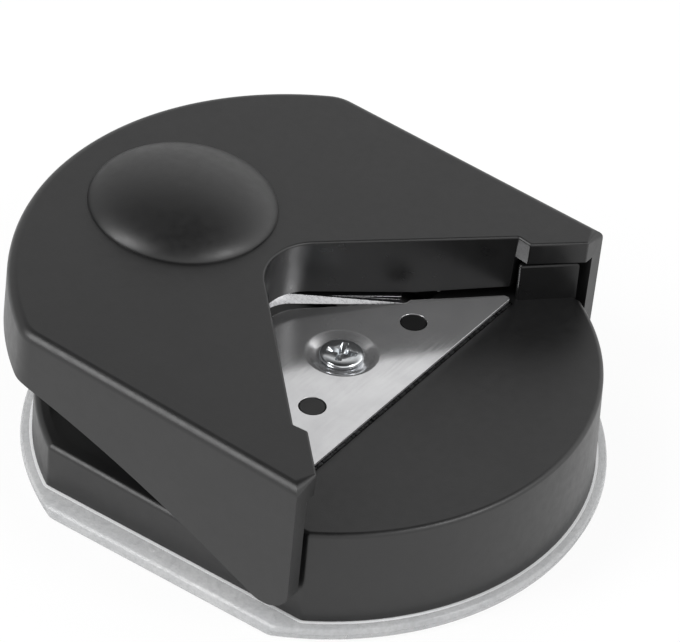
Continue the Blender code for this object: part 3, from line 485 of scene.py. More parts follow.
def soft_back(radius, flat, corner, centre_y=0.0):
    """The back of a disc cut by a flat at each side, with its two corners rounded."""
    inner = radius - corner
    across = flat - corner
    reach = math.degrees(math.acos(across / inner))
    centre = (across, centre_y + math.sqrt(inner**2 - across**2))
    back = arc((0, centre_y), radius, reach, 180 - reach, BACK_STEPS)
    return both_sides(arc(centre, corner, 0, reach, CORNER_STEPS)[:-1], back)


def soft_disc(radius, flat, corner):
    """A round outline cut by a flat at each side, with soft corners and a trimmed back."""
    front = soft_back(radius, flat, corner)
    return soft_back(radius - BACK_TRIM, flat, corner) + [(x, -y) for x, y in reversed(front)]


def half_disc(radius, flat, start=0):
    """The round of a disc between its two flats: its back, or its front from 180 degrees."""
    reach = math.degrees(math.acos(flat / radius))
    return arc((0, 0), radius, start + reach, start + 180 - reach, BACK_STEPS)


def disc(radius, flat):
    """A round outline cut by a flat at each side."""
    back = half_disc(radius, flat)
    return back + [(x, -y) for x, y in reversed(back)]


def shoulder_line(corner, shoulder, flat):
    """From the left flat to the right, along the shoulders and round the peninsula's V."""
    left = [(-flat, shoulder), (shoulder - corner, shoulder)]
    return [*left, *v_apex(corner, CUT_RADIUS), (corner - shoulder, shoulder), (flat, shoulder)]


def behind(corner, shoulder, radius, flat):
    """The part of a disc behind its shoulders and the peninsula between them."""
    return shoulder_line(corner, shoulder, flat) + half_disc(radius, flat)


def ahead(corner, shoulder, radius, flat):
    """The part of a disc before its shoulders, with the peninsula between them."""
    return shoulder_line(corner, shoulder, flat)[::-1] + half_disc(radius, flat, 180)


def offset(outline, distance):
    """The outline moved outwards by one distance or by one for each point, with mitred corners."""
    points = np.array(outline)
    along = np.roll(points, -1, axis=0) - points
    along /= np.linalg.norm(along, axis=1)[:, None]
    outward = np.stack((along[:, 1], -along[:, 0]), axis=1)
    mitre = outward + np.roll(outward, 1, axis=0)
    mitre /= (mitre * outward).sum(axis=1)[:, None]
    distances = np.broadcast_to(distance, len(points))[:, None]
    return [tuple(point) for point in points + distances * mitre]


# Solids


def in_scene(name, data):
    """A new object of the scene, made of a mesh, lamp or lens."""
    obj = bpy.data.objects.new(name, data)
    bpy.context.collection.objects.link(obj)
    return obj


def loft(name, rings):
    """A closed solid over rings of equally many points, lowest first.

    Each ring is an outline and its height, which may be a function of x and y or one for
    each point.
    """
    bm = bmesh.new()
    loops = []
    for outline, height in rings:
        if callable(height):
            height = [height(x, y) for x, y in outline]
        heights = np.broadcast_to(height, len(outline))
        loops.append([bm.verts.new((x, y, z)) for (x, y), z in zip(outline, heights)])
    for low, high in zip(loops, loops[1:]):
        for i in range(len(low)):
            bm.faces.new((low[i - 1], low[i], high[i], high[i - 1]))
    bm.faces.new(reversed(loops[0]))
    bm.faces.new(loops[-1])
    mesh = bpy.data.meshes.new(name)
    bm.to_mesh(mesh)
    bm.free()
    return in_scene(name, mesh)


def prism(name, outline, low, high):
    return loft(name, [(outline, low), (outline, high)])


def rod(name, radius, low, high, centre=(0, 0)):
    return prism(name, circle(radius, centre), low, high)


def box(name, x, y, z):
    return prism(name, [(x[0], y[0]), (x[1], y[0]), (x[1], y[1]), (x[0], y[1])], z[0], z[1])


def turn_across(obj):
    """Turns a solid built upright so that its outline's x, y and height run along Y, Z and X."""
    obj.data.transform(Matrix(((0, 0, 1, 0), (1, 0, 0, 0), (0, 1, 0, 0), (0, 0, 0, 1))))
    return obj


def edge_rings(outline, low, high, edge, shrink=0.0):
    """Rings of a prism whose top edge is rounded and whose top is smaller by shrink.

    The edge is one radius or one for each point of the outline, and the top may be a function
    of x and y where the edge is one radius.
    """
    edge = np.asarray(edge)
    rings = [(outline, low)]
    for turn in quarter_turns(EDGE_STEPS):
        inset = shrink + edge * (1 - math.cos(turn))
        drop = edge * (1 - math.sin(turn))
        ring = offset(outline, -inset)
        level = [high(x, y) for x, y in ring] if callable(high) else high
        rings.append((ring, np.subtract(level, drop)))
    return rings


def combine(obj, operation, others):
    for other in others:
        modifier = obj.modifiers.new(other.name, "BOOLEAN")
        modifier.operation = operation
        modifier.object = other
        other.hide_render = True


def add(obj, *others):
    combine(obj, "UNION", others)


def cut(obj, *others):
    combine(obj, "DIFFERENCE", others)


def evaluated_mesh(obj):
    bpy.context.view_layer.update()
    graph = bpy.context.evaluated_depsgraph_get()
    return bpy.data.meshes.new_from_object(obj.evaluated_get(graph))


def solved(obj):
    """The object with its Booleans made part of its mesh, and their tools removed."""
    tools = [modifier.object for modifier in obj.modifiers]
    mesh = evaluated_mesh(obj)
    obj.modifiers.clear()
    obj.data = mesh
    for tool in tools:
        bpy.data.objects.remove(tool, do_unlink=True)
    bm = bmesh.new()
    bm.from_mesh(mesh)
    bmesh.ops.remove_doubles(bm, verts=bm.verts, dist=WELD)
    bmesh.ops.dissolve_degenerate(bm, edges=bm.edges, dist=WELD)
    bm.to_mesh(mesh)
    bm.free()
    return obj


def fine_edges(obj, width, segments=FINE_STEPS):
    """Rounds the edges that are still sharp, and evens the shading of the flat faces."""
    bevel = obj.modifiers.new("fine_edges", "BEVEL")
    bevel.width = width
    bevel.segments = segments
    bevel.limit_method = "ANGLE"
    bevel.angle_limit = SMOOTH_BELOW
    bevel.miter_outer = "MITER_ARC"
    obj.data.shade_smooth()
    normals = obj.modifiers.new("even_shading", "WEIGHTED_NORMAL")
    normals.keep_sharp = True
    normals.weight = LARGE_FACE_WEIGHT
    obj.data = evaluated_mesh(obj)
    obj.modifiers.clear()
    obj.data.name = obj.name
    return obj


def dressed(obj, materials, body, nodes, place=None, second_on=None):
    """Puts a finished piece on its body in place of its CAD nodes, and gives it its materials.

    The second material goes on the faces whose centre and normal, in the piece's own frame,
    meet a test.
    """
    obj.data.materials.clear()
    for made_of in materials:
        obj.data.materials.append(made_of)
    if second_on:
        for polygon in obj.data.polygons:
            polygon.material_index = int(second_on(polygon.center, polygon.normal))
    if place is not None:
        obj.data.transform(place)
    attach(obj, body)
    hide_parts(*nodes)


# Node trees and materials


class Tree:
    """A node tree, and short ways to add to it."""

    def __init__(self, tree):
        self.tree = tree

    def give(self, entry, value):
        """Gives an input its value, or a link from a socket."""
        if isinstance(value, bpy.types.NodeSocket):
            self.tree.links.new(value, entry)
        else:
            entry.default_value = value

    def fill(self, node, entries):
        """Gives a node's inputs, by name, their values or sockets."""
        for key, value in entries.items():
            self.give(node.inputs[key.replace("_", " ")], value)

    def add(self, kind, settings=(), **entries):
        node = self.tree.nodes.new(kind)
        for key, value in dict(settings).items():
            setattr(node, key, value)
        self.fill(node, entries)
        return node

    def maths(self, operation, *values):
        """The result of a math node over numbers or sockets."""
        node = self.add("ShaderNodeMath", {"operation": operation})
        for entry, value in zip(node.inputs, values):
            self.give(entry, value)
        return node.outputs[0]

    def mixed(self, share, first, second):
        """A mix of two shader nodes."""
        node = self.add("ShaderNodeMixShader", Fac=share)
        self.give(node.inputs[1], first.outputs[0])
        self.give(node.inputs[2], second.outputs[0])
        return node

    def noise(self, scale, detail, stretch=(1, 1, 1)):
        """Noise on object coordinates."""
        place = self.add("ShaderNodeTexCoord").outputs["Object"]
        placed = self.add("ShaderNodeMapping", Vector=place, Scale=stretch).outputs["Vector"]
        noise = self.add("ShaderNodeTexNoise", Vector=placed, Scale=scale, Detail=detail)
        return noise.outputs["Fac"]

    def spread(self, noise, low, high):
        """A colour or number that runs from low to high over a noise."""
        value = self.noise(*noise)
        if isinstance(low, tuple):
            ramp = self.add("ShaderNodeValToRGB", Fac=value)
            first, last = ramp.color_ramp.elements
            first.position, last.position = NOISE_SHARES
            first.color, last.color = (*low, 1), (*high, 1)
            return ramp.outputs["Color"]
        node = self.add("ShaderNodeMapRange", Value=value, To_Min=low, To_Max=high)
        self.fill(node, {"From Min": NOISE_SHARES[0], "From Max": NOISE_SHARES[1]})
        return node.outputs["Result"]

    def bumps(self, *layers):
        """The normal that these bumps give, each laid over those before it."""
        below = {}
        for noise, strength, depth in layers:
            height = self.noise(*noise)
            bump = self.add("ShaderNodeBump", Height=height, Strength=strength, Distance=depth)
            self.fill(bump, below)
            below = {"Normal": bump.outputs["Normal"]}
        return below["Normal"]

    def end(self, output, surface):
        """Makes a shader node the surface of this material or world."""
        self.fill(self.tree.nodes[output], {"Surface": surface.outputs[0]})


def start_material(name):
    """A new material, its tree and its shader."""
    material = bpy.data.materials.new(name)
    material.use_nodes = True
    made = Tree(material.node_tree)
    return material, made, made.tree.nodes["Principled BSDF"]


def finished(name):
    """A material with the finish of that name."""
    material, made, shader = start_material(name)
    for entry, value in FINISHES[name].items():
        if entry == "Normal":
            value = made.bumps(*value)
        elif isinstance(value, tuple):
            value = made.spread(*value)
        made.give(shader.inputs[entry], value)
    return material


# Geometry node trees


def start_tree(name, entries):
    """A new tree with a geometry output, and the sockets of its inputs, given by name and kind."""
    group = bpy.data.node_groups.new(name, "GeometryNodeTree")
    group.interface.new_socket("Geometry", in_out="OUTPUT", socket_type="NodeSocketGeometry")
    for label, kind in entries:
        group.interface.new_socket(label, in_out="INPUT", socket_type=f"NodeSocket{kind}")
    made = Tree(group)
    return made, made.add("NodeGroupInput").outputs


def end_tree(made, geometry, made_of):
    """Realises what a tree made, shades it smooth and gives it its material."""
    real = made.add("GeometryNodeRealizeInstances", Geometry=geometry).outputs["Geometry"]
    smooth = made.add("GeometryNodeSetShadeSmooth", Geometry=real).outputs["Geometry"]
    painted = made.add("GeometryNodeSetMaterial", Geometry=smooth, Material=made_of)
    made.add("NodeGroupOutput", Geometry=painted.outputs["Geometry"])
    return made.tree


def coil_tree():
    """A round wire wound up Z: a close turn at each end and an even pitch between them."""
    made, sizes = start_tree(
        "coil",
        [
            ("Radius", "Float"),
            ("Wire Radius", "Float"),
            ("Turns", "Float"),
            ("End Pitch", "Float"),
            ("Pitch", "Float"),
            ("Points Per Turn", "Float"),
            ("Wire Sides", "Int"),
            ("Material", "Material"),
        ],
    )
    steps = made.maths("MULTIPLY", sizes["Turns"], sizes["Points Per Turn"])
    line = made.add("GeometryNodeMeshLine", Count=made.maths("ADD", steps, 1))
    index = made.add("GeometryNodeInputIndex").outputs["Index"]
    turn = made.maths("DIVIDE", index, sizes["Points Per Turn"])
    angle = made.maths("MULTIPLY", turn, 2 * math.pi)
    first = made.maths("MINIMUM", turn, 1)
    last_start = made.maths("SUBTRACT", sizes["Turns"], 1)
    last = made.maths("MAXIMUM", made.maths("SUBTRACT", turn, last_start), 0)
    between = made.maths("SUBTRACT", made.maths("SUBTRACT", turn, first), last)
    close = made.maths("MULTIPLY", made.maths("ADD", first, last), sizes["End Pitch"])
    place = made.add(
        "ShaderNodeCombineXYZ",
        X=made.maths("MULTIPLY", sizes["Radius"], made.maths("COSINE", angle)),
        Y=made.maths("MULTIPLY", sizes["Radius"], made.maths("SINE", angle)),
        Z=made.maths("ADD", close, made.maths("MULTIPLY", between, sizes["Pitch"])),
    )
    wound = made.add(
        "GeometryNodeSetPosition",
        Geometry=line.outputs["Mesh"],
        Position=place.outputs["Vector"],
    )
    path = made.add("GeometryNodeMeshToCurve", Mesh=wound.outputs["Geometry"])
    section = made.add(
        "GeometryNodeCurvePrimitiveCircle",
        Resolution=sizes["Wire Sides"],
        Radius=sizes["Wire Radius"],
    )
    wire = made.add(
        "GeometryNodeCurveToMesh",
        Curve=path.outputs["Curve"],
        Profile_Curve=section.outputs["Curve"],
        Fill_Caps=True,
    )
    return end_tree(made, wire.outputs["Mesh"], sizes["Material"])


def row_tree():
    """Copies of a piece along X, evenly about the middle, such as a pair of screws."""
    made, sizes = start_tree(
        "row",
        [
            ("Piece", "Object"),
            ("Count", "Int"),
            ("Spacing", "Float"),
            ("Reach", "Float"),
            ("Height", "Float"),
            ("Turn", "Rotation"),
            ("Material", "Material"),
        ],
    )
    step = made.add("ShaderNodeCombineXYZ", X=sizes["Spacing"])
    half = made.maths("DIVIDE", made.maths("SUBTRACT", sizes["Count"], 1), -2)
    start = made.add(
        "ShaderNodeCombineXYZ",
        X=made.maths("MULTIPLY", half, sizes["Spacing"]),
        Y=sizes["Reach"],
        Z=sizes["Height"],
    )
    line = made.add(
        "GeometryNodeMeshLine",
        Count=sizes["Count"],
        Start_Location=start.outputs["Vector"],
        Offset=step.outputs["Vector"],
    )
    piece = made.add("GeometryNodeObjectInfo", Object=sizes["Piece"])
    copies = made.add(
        "GeometryNodeInstanceOnPoints",
        Points=line.outputs["Mesh"],
        Instance=piece.outputs["Geometry"],
        Rotation=sizes["Turn"],
    )
    return end_tree(made, copies.outputs["Instances"], sizes["Material"])


def from_tree(name, tree, values):
    """A plain mesh object made by a tree with these inputs."""
    holder = in_scene(name, bpy.data.meshes.new(name))
    modifier = holder.modifiers.new(name, "NODES")
    modifier.node_group = tree
    for item in tree.interface.items_tree:
        if item.in_out == "INPUT" and item.name in values:
            modifier[item.identifier] = values[item.name]
    mesh = evaluated_mesh(holder)
    holder.modifiers.clear()
    holder.data = mesh
    return holder


# Pieces


def tray_outline(inset, flat_inset):
    return soft_disc(TRAY_RADIUS - inset, TRAY_FLAT - flat_inset, TRAY_CORNER_ROUND)


def clear_tray():
    """The tray: a flange whose flats are rounded over, a low wall inside the base, and a floor."""
    rings = []
    for inset, rise in TRAY_FOOT_SHARES:
        outline = tray_outline(TRAY_EDGE * (1 + inset), TRAY_EDGE * inset)
        rings.append((outline, TRAY_EDGE * rise))
    rings.append((tray_outline(TRAY_EDGE, 0), TRAY_FLOOR - TRAY_EDGE / 2))
    rings.append((tray_outline(0, 0), TRAY_FLOOR))
    for turn in quarter_turns(EDGE_STEPS)[1:]:
        rise = (TRAY_FLANGE - TRAY_FLOOR) * math.sin(turn)
        inset = TRAY_FLAT_ROUND * (1 - math.cos(turn))
        edge = TRAY_EDGE * (1 - math.cos(turn))
        rings.append((tray_outline(edge, inset), TRAY_FLOOR + rise))
    foot_line = [size + TRAY_LIT_EDGE for size in (BASE_RADIUS, BASE_FLAT, BASE_CORNER_ROUND)]
    rings.append((soft_disc(*foot_line), TRAY_FLANGE))
    tray = loft("clear_tray", rings)
    wall = disc(BASE_INNER_RADIUS - TRAY_FIT, BASE_INNER_FLAT - TRAY_FIT)
    add(tray, prism("tray_wall", wall, TRAY_FLOOR / 2, TRAY_WALL_TOP))
    inner = offset(wall, -TRAY_WALL)
    cut(tray, prism("tray_hollow", inner, TRAY_FLOOR, TRAY_WALL_TOP + OVERRUN))
    return fine_edges(solved(tray), FINE_EDGE)


def rim_level(x, y):
    return BASE_UNDERSIDE + TUB_RIM + y * math.tan(TUB_RIM_SLOPE)


def card_stop(name, side):
    """One of the two stops that a card's edge slides against, with rounded upper edges."""
    outer = BASE_FLAT - BASE_SHRINK - STOP_INSET
    inner = (BASE_FLAT - STOP_REACH, CARD_CORNER - BASE_FLAT + STOP_REACH)
    tip = (outer, CARD_CORNER - outer)
    back = (outer, inner[1])
    outline = [tip, back, *corner_round(inner, back, tip, STOP_ROUND)]
    if side < 0:
        outline = [(-x, y) for x, y in reversed(outline)]
    rings = edge_rings(outline, TABLE - DECK_THICKNESS / 2, STOP_TOP, STOP_EDGE)
    return loft(name, rings)


def die_outline():
    """The die's V with its rounded cutting corner, and its straight front edge."""
    right = [(PLATES_HALF, DIE_FRONT_Y), (PLATES_HALF, DIE_CORNER - PLATES_HALF)]
    return both_sides(right, v_apex(DIE_CORNER, CUT_RADIUS)[::-1])


def tub_back(x):
    """How far back the tub's inner wall is at a given x."""
    return math.sqrt(BASE_INNER_RADIUS**2 - x**2)


def at_pin(radius):
    """A circle about the hinge pin, seen along X."""
    return circle(radius, (HINGE_Y, HINGE_Z))


def base_shell():
    """A high front part up to the table, and behind it the low part with its soft rim."""
    outline = soft_disc(BASE_RADIUS, BASE_FLAT, BASE_CORNER_ROUND)
    rings = edge_rings(outline, BASE_UNDERSIDE, TABLE, TABLE_EDGE, BASE_SHRINK)
    base = loft("base_moulding", rings)
    wide = BASE_RADIUS + OVERRUN
    rear = behind(PENINSULA_CORNER, SHOULDER_Y, wide, wide - OVERRUN / 2)
    cut(base, prism("rear_opening", rear, BASE_UNDERSIDE - OVERRUN, TABLE + OVERRUN))
    low = offset(outline, -RIM_SEAM)
    rim_shrink = TUB_RIM * math.tan(BASE_DRAFT)
    rim_rings = edge_rings(low, BASE_UNDERSIDE, rim_level, TUB_RIM_EDGE, rim_shrink)
    add(base, loft("low_part", rim_rings))
    return base


def hollow_out(base):
    """Cuts the tub, the chambers under it and the deck, the die's pocket and the chip window."""
    inner = (BASE_INNER_RADIUS, BASE_INNER_FLAT)
    tub = behind(PENINSULA_CORNER, SHOULDER_Y, *inner)
    walled_corner = PENINSULA_CORNER - BASE_WALL * math.sqrt(2)
    chamber = ahead(walled_corner, SHOULDER_Y - BASE_WALL, *inner)
    front_reach = math.degrees(math.asin((PIN_BOSS_RADIUS - HINGE_Y) / BASE_INNER_RADIUS))
    front = arc((0, 0), BASE_INNER_RADIUS, 180 + front_reach, 360 - front_reach, BACK_STEPS)
    cut(
        base,
        prism("tub", tub, TUB_BOTTOM, TABLE),
        prism("underside_hollow", disc(*inner), BASE_UNDERSIDE - OVERRUN, CHIP_CEILING),
        prism("front_chamber", chamber, CHIP_CEILING - OVERRUN, DECK_UNDER_POCKET),
        prism("deck_hollow", front, DECK_UNDER_POCKET - OVERRUN, TABLE - DECK_THICKNESS),
        prism("die_pocket", offset(die_outline(), POCKET_GAP), POCKET_BOTTOM, TABLE + OVERRUN),
        box(
            "chip_window",
            (-WINDOW_HALF, WINDOW_HALF),
            (0, WINDOW_BACK),
            (CHIP_CEILING - OVERRUN, TUB_BOTTOM + STACK_GAP),
        ),
    )


def add_base_side(base, side, word):
    """Adds a side's card stop, peg, pin boss, pin saddle and floor rib."""
    inside = POCKET_FLOOR / 2
    add(base, card_stop(f"card_stop_{word}", side))
    peg = (side * PEG_X, PEG_Y)
    peg_top = PLATE_TOP - PEG_BELOW_PLATE_TOP
    add(base, rod(f"peg_{word}", PEG_RADIUS, POCKET_BOTTOM - inside, peg_top, peg))
    boss_end = side * (BASE_INNER_FLAT - PIN_BOSS_LENGTH)
    boss_foot = side * (BASE_INNER_FLAT + BASE_WALL / 2)
    ends = sorted((boss_end, boss_foot))
    add(base, turn_across(prism(f"pin_boss_{word}", at_pin(PIN_BOSS_RADIUS), *ends)))
    middle = side * PIN_SADDLE_X
    saddle = box(
        f"pin_saddle_{word}",
        (middle - PIN_SADDLE_THICKNESS / 2, middle + PIN_SADDLE_THICKNESS / 2),
        (HINGE_Y - PIN_BOSS_RADIUS, HINGE_Y + PIN_BOSS_RADIUS),
        (HINGE_Z - PIN_BOSS_RADIUS, POCKET_BOTTOM - inside),
    )
    rib_x = side * FLOOR_RIB_X
    rib = box(
        f"floor_rib_{word}",
        (rib_x - RIB_THICKNESS / 2, rib_x + RIB_THICKNESS / 2),
        (SHOULDER_Y - BASE_WALL / 2, tub_back(FLOOR_RIB_X) + BASE_WALL / 2),
        (TUB_BOTTOM - TUB_FLOOR / 2, TUB_BOTTOM + FLOOR_RIB_HEIGHT),
    )
    add(base, saddle, rib)


def add_spring_seat(base):
    """Adds the ring that the spring stands in and the stub inside it."""
    spring_at = (0, SPRING_Y)
    seat_low = TUB_BOTTOM - TUB_FLOOR / 2
    ring_top = TUB_BOTTOM + SEAT_RING_HEIGHT
    ring_bore = SPRING_RADIUS + SPRING_WIRE
    add(base, rod("spring_ring", SEAT_RING_RADIUS, seat_low, ring_top, spring_at))
    cut(base, rod("spring_bore", ring_bore, TUB_BOTTOM, ring_top + OVERRUN, spring_at))
    add(base, rod("spring_stub", STUB_RADIUS, seat_low, STUB_TOP, spring_at))


def base_moulding():
    """The whole base, with the holes for the pin and the plate screw cut last."""
    base = base_shell()
    hollow_out(base)
    screw_at = (0, SCREW_Y)
    boss_low = DECK_UNDER_POCKET - SCREW_BOSS_HEIGHT
    boss_high = DECK_UNDER_POCKET + POCKET_FLOOR / 2
    add(base, rod("screw_boss", SCREW_BOSS_RADIUS, boss_low, boss_high, screw_at))
    for side, word in SIDES:
        add_base_side(base, side, word)
    add_spring_seat(base)
    reach = BASE_FLAT + OVERRUN
    hole = SHANK_RADIUS + HOLE_PLAY
    cut(
        base,
        turn_across(prism("pin_hole", at_pin(PIN_RADIUS + PIN_PLAY), -reach, reach)),
        rod("screw_hole", hole, boss_low - OVERRUN, POCKET_BOTTOM + OVERRUN, screw_at),
    )
    return fine_edges(solved(base), BASE_FINE_EDGE, BASE_FINE_STEPS)


def card_plate_outline():
    wing = CARD_CORNER + WING_MARGIN
    recess = wing - RECESS_DEPTH
    step = RECESS_HALF + RECESS_STEP
    tip = (PLATES_HALF, PLATE_FRONT_Y)
    end = (PLATES_HALF, wing - PLATES_HALF)
    inner = (step, wing - step)
    right = [
        *corner_round(tip, (0, PLATE_FRONT_Y), end, PLATE_TIP_ROUND),
        *corner_round(end, tip, inner, PLATE_TIP_ROUND),
        inner,
        (RECESS_HALF, recess - RECESS_HALF),
    ]
    return both_sides(right, v_apex(recess, CUT_RADIUS)[::-1])


def dish(name, level, beyond):
    """What fills the dish up to a level, with soft shoulders, and goes on beyond that level."""
    rings = []
    for i in range(EDGE_STEPS * 2 + 1):
        share = i / (EDGE_STEPS * 2)
        radius = DISH_FLOOR_RADIUS + (DISH_RADIUS - DISH_FLOOR_RADIUS) * share
        drop = DISH_DEPTH * (1 + math.cos(math.pi * share)) / 2
        rings.append((circle(radius, (0, SCREW_Y)), level - drop))
    if beyond:
        rings.append((circle(DISH_RADIUS, (0, SCREW_Y)), level + beyond))
    return loft(name, rings)


def card_plate():
    """A thin polished plate, pressed into a dish round the screw that holds it down."""
    plate = prism("card_slide_plate", card_plate_outline(), PLATE_BOTTOM, PLATE_TOP)
    lowered = dish("dish_outside", PLATE_BOTTOM + DISH_LAP, 0)
    hollow = dish("dish_inside", PLATE_TOP + DISH_RIM_LIFT, OVERRUN)
    low = PLATE_BOTTOM - DISH_DEPTH - OVERRUN
    high = PLATE_TOP + OVERRUN
    holes = [rod("plate_screw_hole", SHANK_RADIUS + HOLE_PLAY, low, high, (0, SCREW_Y))]
    for side, word in SIDES:
        peg = (side * PEG_X, PEG_Y)
        holes.append(rod(f"plate_peg_hole_{word}", PEG_RADIUS + HOLE_PLAY, low, high, peg))
    add(plate, lowered)
    cut(plate, hollow, *holes)
    return fine_edges(solved(plate), METAL_FINE_EDGE)


def drive_slot(name, turn):
    """One of the two slots of a cross drive, narrower and shorter towards its floor."""
    half = (DRIVE_LENGTH / 2, DRIVE_WIDTH / 2)
    narrow = (half[0] * DRIVE_FLOOR_SHARES[0], half[1] * DRIVE_FLOOR_SHARES[1])
    floor_level = HEAD_HEIGHT - DRIVE_DEPTH
    rings = []
    for (x, y), z in ((narrow, floor_level), (half, HEAD_HEIGHT), (half, HEAD_HEIGHT + OVERRUN)):
        rings.append(([(-x, -y), (x, -y), (x, y), (-x, y)], z))
    slot = loft(name, rings)
    slot.data.transform(Matrix.Rotation(turn, 4, "Z"))
    return slot


def cross_screw(name, shank_radius, length):
    """A panhead screw with a cross drive, its bearing face at the origin and its head up."""
    foot_share, foot_rise_share = HEAD_FOOT_SHARES
    rings = [
        (circle(shank_radius * SCREW_TIP_SHARE), -length),
        (circle(shank_radius), -length + shank_radius),
        (circle(shank_radius), 0),
        (circle(HEAD_RADIUS * foot_share), 0),
        (circle(HEAD_RADIUS), HEAD_HEIGHT * foot_rise_share),
        (circle(HEAD_RADIUS), HEAD_HEIGHT * HEAD_SIDE_SHARE),
    ]
    for turn in quarter_turns(HEAD_STEPS)[1:-1]:
        rise = HEAD_HEIGHT * (HEAD_SIDE_SHARE + (1 - HEAD_SIDE_SHARE) * math.sin(turn))
        rings.append((circle(HEAD_RADIUS * math.cos(turn) ** HEAD_FLATNESS), rise))
    made = loft(name, rings)
    cut(made, drive_slot(f"{name}_slot_along", 0), drive_slot(f"{name}_slot_across", math.pi / 2))
    return fine_edges(solved(made), METAL_FINE_EDGE)


def thread(name, coil, shank_radius, length, made_of):
    """The thread's ridge round a screw's shank."""
    turns = math.floor((length - 2 * shank_radius) / THREAD_PITCH)
    sizes = {
        "Radius": shank_radius,
        "Wire Radius": THREAD_HEIGHT,
        "Turns": float(turns),
        "End Pitch": THREAD_PITCH,
        "Pitch": THREAD_PITCH,
        "Points Per Turn": THREAD_POINTS_PER_TURN,
        "Wire Sides": THREAD_SIDES,
        "Material": made_of,
    }
    ridge = from_tree(name, coil, sizes)
    ridge.data.transform(Matrix.Translation((0, 0, -length + shank_radius)))
    return ridge


def join(obj, other):
    """Puts another object's mesh into this one, without a Boolean."""
    bm = bmesh.new()
    bm.from_mesh(obj.data)
    bm.from_mesh(other.data)
    bm.to_mesh(obj.data)
    bm.free()
    bpy.data.objects.remove(other, do_unlink=True)


def cover_outline(front):
    """The cover seen from above, and how far its top edge is rounded at each point."""
    arm_corner = NOTCH_CORNER - ARM_STEP
    step_x = ARM_STEP_X - ARM_STEP_SLANT
    notch_end = (ARM_STEP_X, notch_side(NOTCH_CORNER, ARM_STEP_X))
    step_end = (step_x, notch_side(arm_corner, step_x))
    head = ((arm_corner + front) / NOTCH_SLOPE, -front)
    tip = (LEVER_FLAT, -front)
    apex = v_apex(NOTCH_CORNER, NOTCH_RADIUS, NOTCH_HALF)
    back = soft_back(LEVER_BACK_RADIUS, LEVER_FLAT, LEVER_BACK_ROUND, LEVER_ARC_Y)
    arm = [
        *corner_round(notch_end, apex[-1], step_end, ARM_STEP_ROUND),
        *corner_round(step_end, notch_end, head, ARM_STEP_ROUND),
        *corner_round(head, step_end, tip, ARM_STEP_ROUND),
    ]
    outline = both_sides([*arm, tip], back) + apex
    soft = [LEVER_EDGE] * (len(back) + 2)
    return outline, [NOTCH_EDGE] * len(arm) + soft + [NOTCH_EDGE] * (len(arm) + len(apex))


def cover_hollow_outline():
    """The inside of the cover's walls, seen from above."""
    corner = NOTCH_CORNER + NOTCH_WALL_DEPTH
    radius = LEVER_BACK_RADIUS - LEVER_WALL
    back = soft_back(radius, LEVER_INNER_FLAT, LEVER_BACK_ROUND - LEVER_WALL, LEVER_ARC_Y)
    end = (LEVER_INNER_FLAT, notch_side(corner, LEVER_INNER_FLAT))
    return both_sides([end], back) + v_apex(corner, NOTCH_RADIUS + LEVER_WALL, NOTCH_HALF)


def below_skirt():
    """What lies below the cover's side walls: a round lobe at the hinge, then a rising curve."""
    start = Vector((math.sin(SKIRT_RISE), -math.cos(SKIRT_RISE))) * LOBE_RADIUS
    level = LEVER_RISE - SKIRT_BACK_DEPTH
    bend_rise = (SKIRT_BEND_REACH - start.x) * math.tan(SKIRT_RISE)
    bend = Vector((SKIRT_BEND_REACH, start.y + bend_rise))
    end = Vector((SKIRT_LEVEL_REACH, level))
    lobe = arc((0, 0), LOBE_RADIUS, -180, math.degrees(SKIRT_RISE) - 90, APEX_STEPS)
    edge = []
    for i in range(1, SKIRT_STEPS + 1):
        t = i / SKIRT_STEPS
        edge.append(tuple(start * (1 - t) ** 2 + bend * 2 * t * (1 - t) + end * t**2))
    far = LEVER_ARC_Y + LEVER_BACK_RADIUS + OVERRUN
    upper = [(BELOW_LOBE, 0), *lobe, *edge, (far, level)]
    outline = [(BELOW_LOBE, BELOW_LOBE), (far, BELOW_LOBE)] + upper[::-1]
    return turn_across(prism("below_skirt", outline, -LEVER_FLAT - OVERRUN, LEVER_FLAT + OVERRUN))


def below_notch_walls():
    """What lies below the notch's walls and the arms' lips, between the side walls."""
    reach = NOTCH_CORNER + NOTCH_WALL_DEPTH
    step = notch_side(NOTCH_CORNER, ARM_STEP_X)
    bend = notch_side(NOTCH_CORNER, NOTCH_WALL_BEND_X)
    outline = [
        (BELOW_LOBE, BELOW_LOBE),
        (reach, BELOW_LOBE),
        (reach, LEVER_RISE - NOTCH_WALL_APEX),
        (NOTCH_CORNER, LEVER_RISE - NOTCH_WALL_APEX),
        (bend, LEVER_RISE - NOTCH_WALL_DEEPEST),
        (step, LEVER_RISE - NOTCH_WALL_END),
        (step, LEVER_RISE - ARM_LIP),
        (BELOW_LOBE, LEVER_RISE - ARM_LIP),
    ]
    return turn_across(prism("below_notch_walls", outline, -LEVER_INNER_FLAT, LEVER_INNER_FLAT))


def crown_rings(radius, low):
    """Rings of the dome's crown, which is steep only at its foot and flattens to its top."""
    rings = []
    for turn in quarter_turns(DOME_STEPS)[:-1]:
        outline = circle(radius * math.cos(turn), (0, DOME_REACH), DOME_SIDES)
        rings.append((outline, low + DOME_HEIGHT * math.sin(turn) ** DOME_FULLNESS))
    return rings


def thumb_dome():
    """The dome, with a foot that goes halfway into the roof."""
    foot = circle(DOME_RADIUS, (0, DOME_REACH), DOME_SIDES)
    crown = crown_rings(DOME_RADIUS, LEVER_RISE)
    return loft("thumb_dome", [(foot, LEVER_RISE - LEVER_ROOF / 2), *crown[1:]])


def dome_hollow():
    """The hollow under the thumb dome, which keeps its wall even."""
    radius = DOME_RADIUS - LEVER_WALL
    mouth = circle(radius, (0, DOME_REACH), DOME_SIDES)
    crown = crown_rings(radius, ROOF_UNDERSIDE)
    return loft("dome_hollow", [(mouth, ROOF_UNDERSIDE - OVERRUN), *crown])


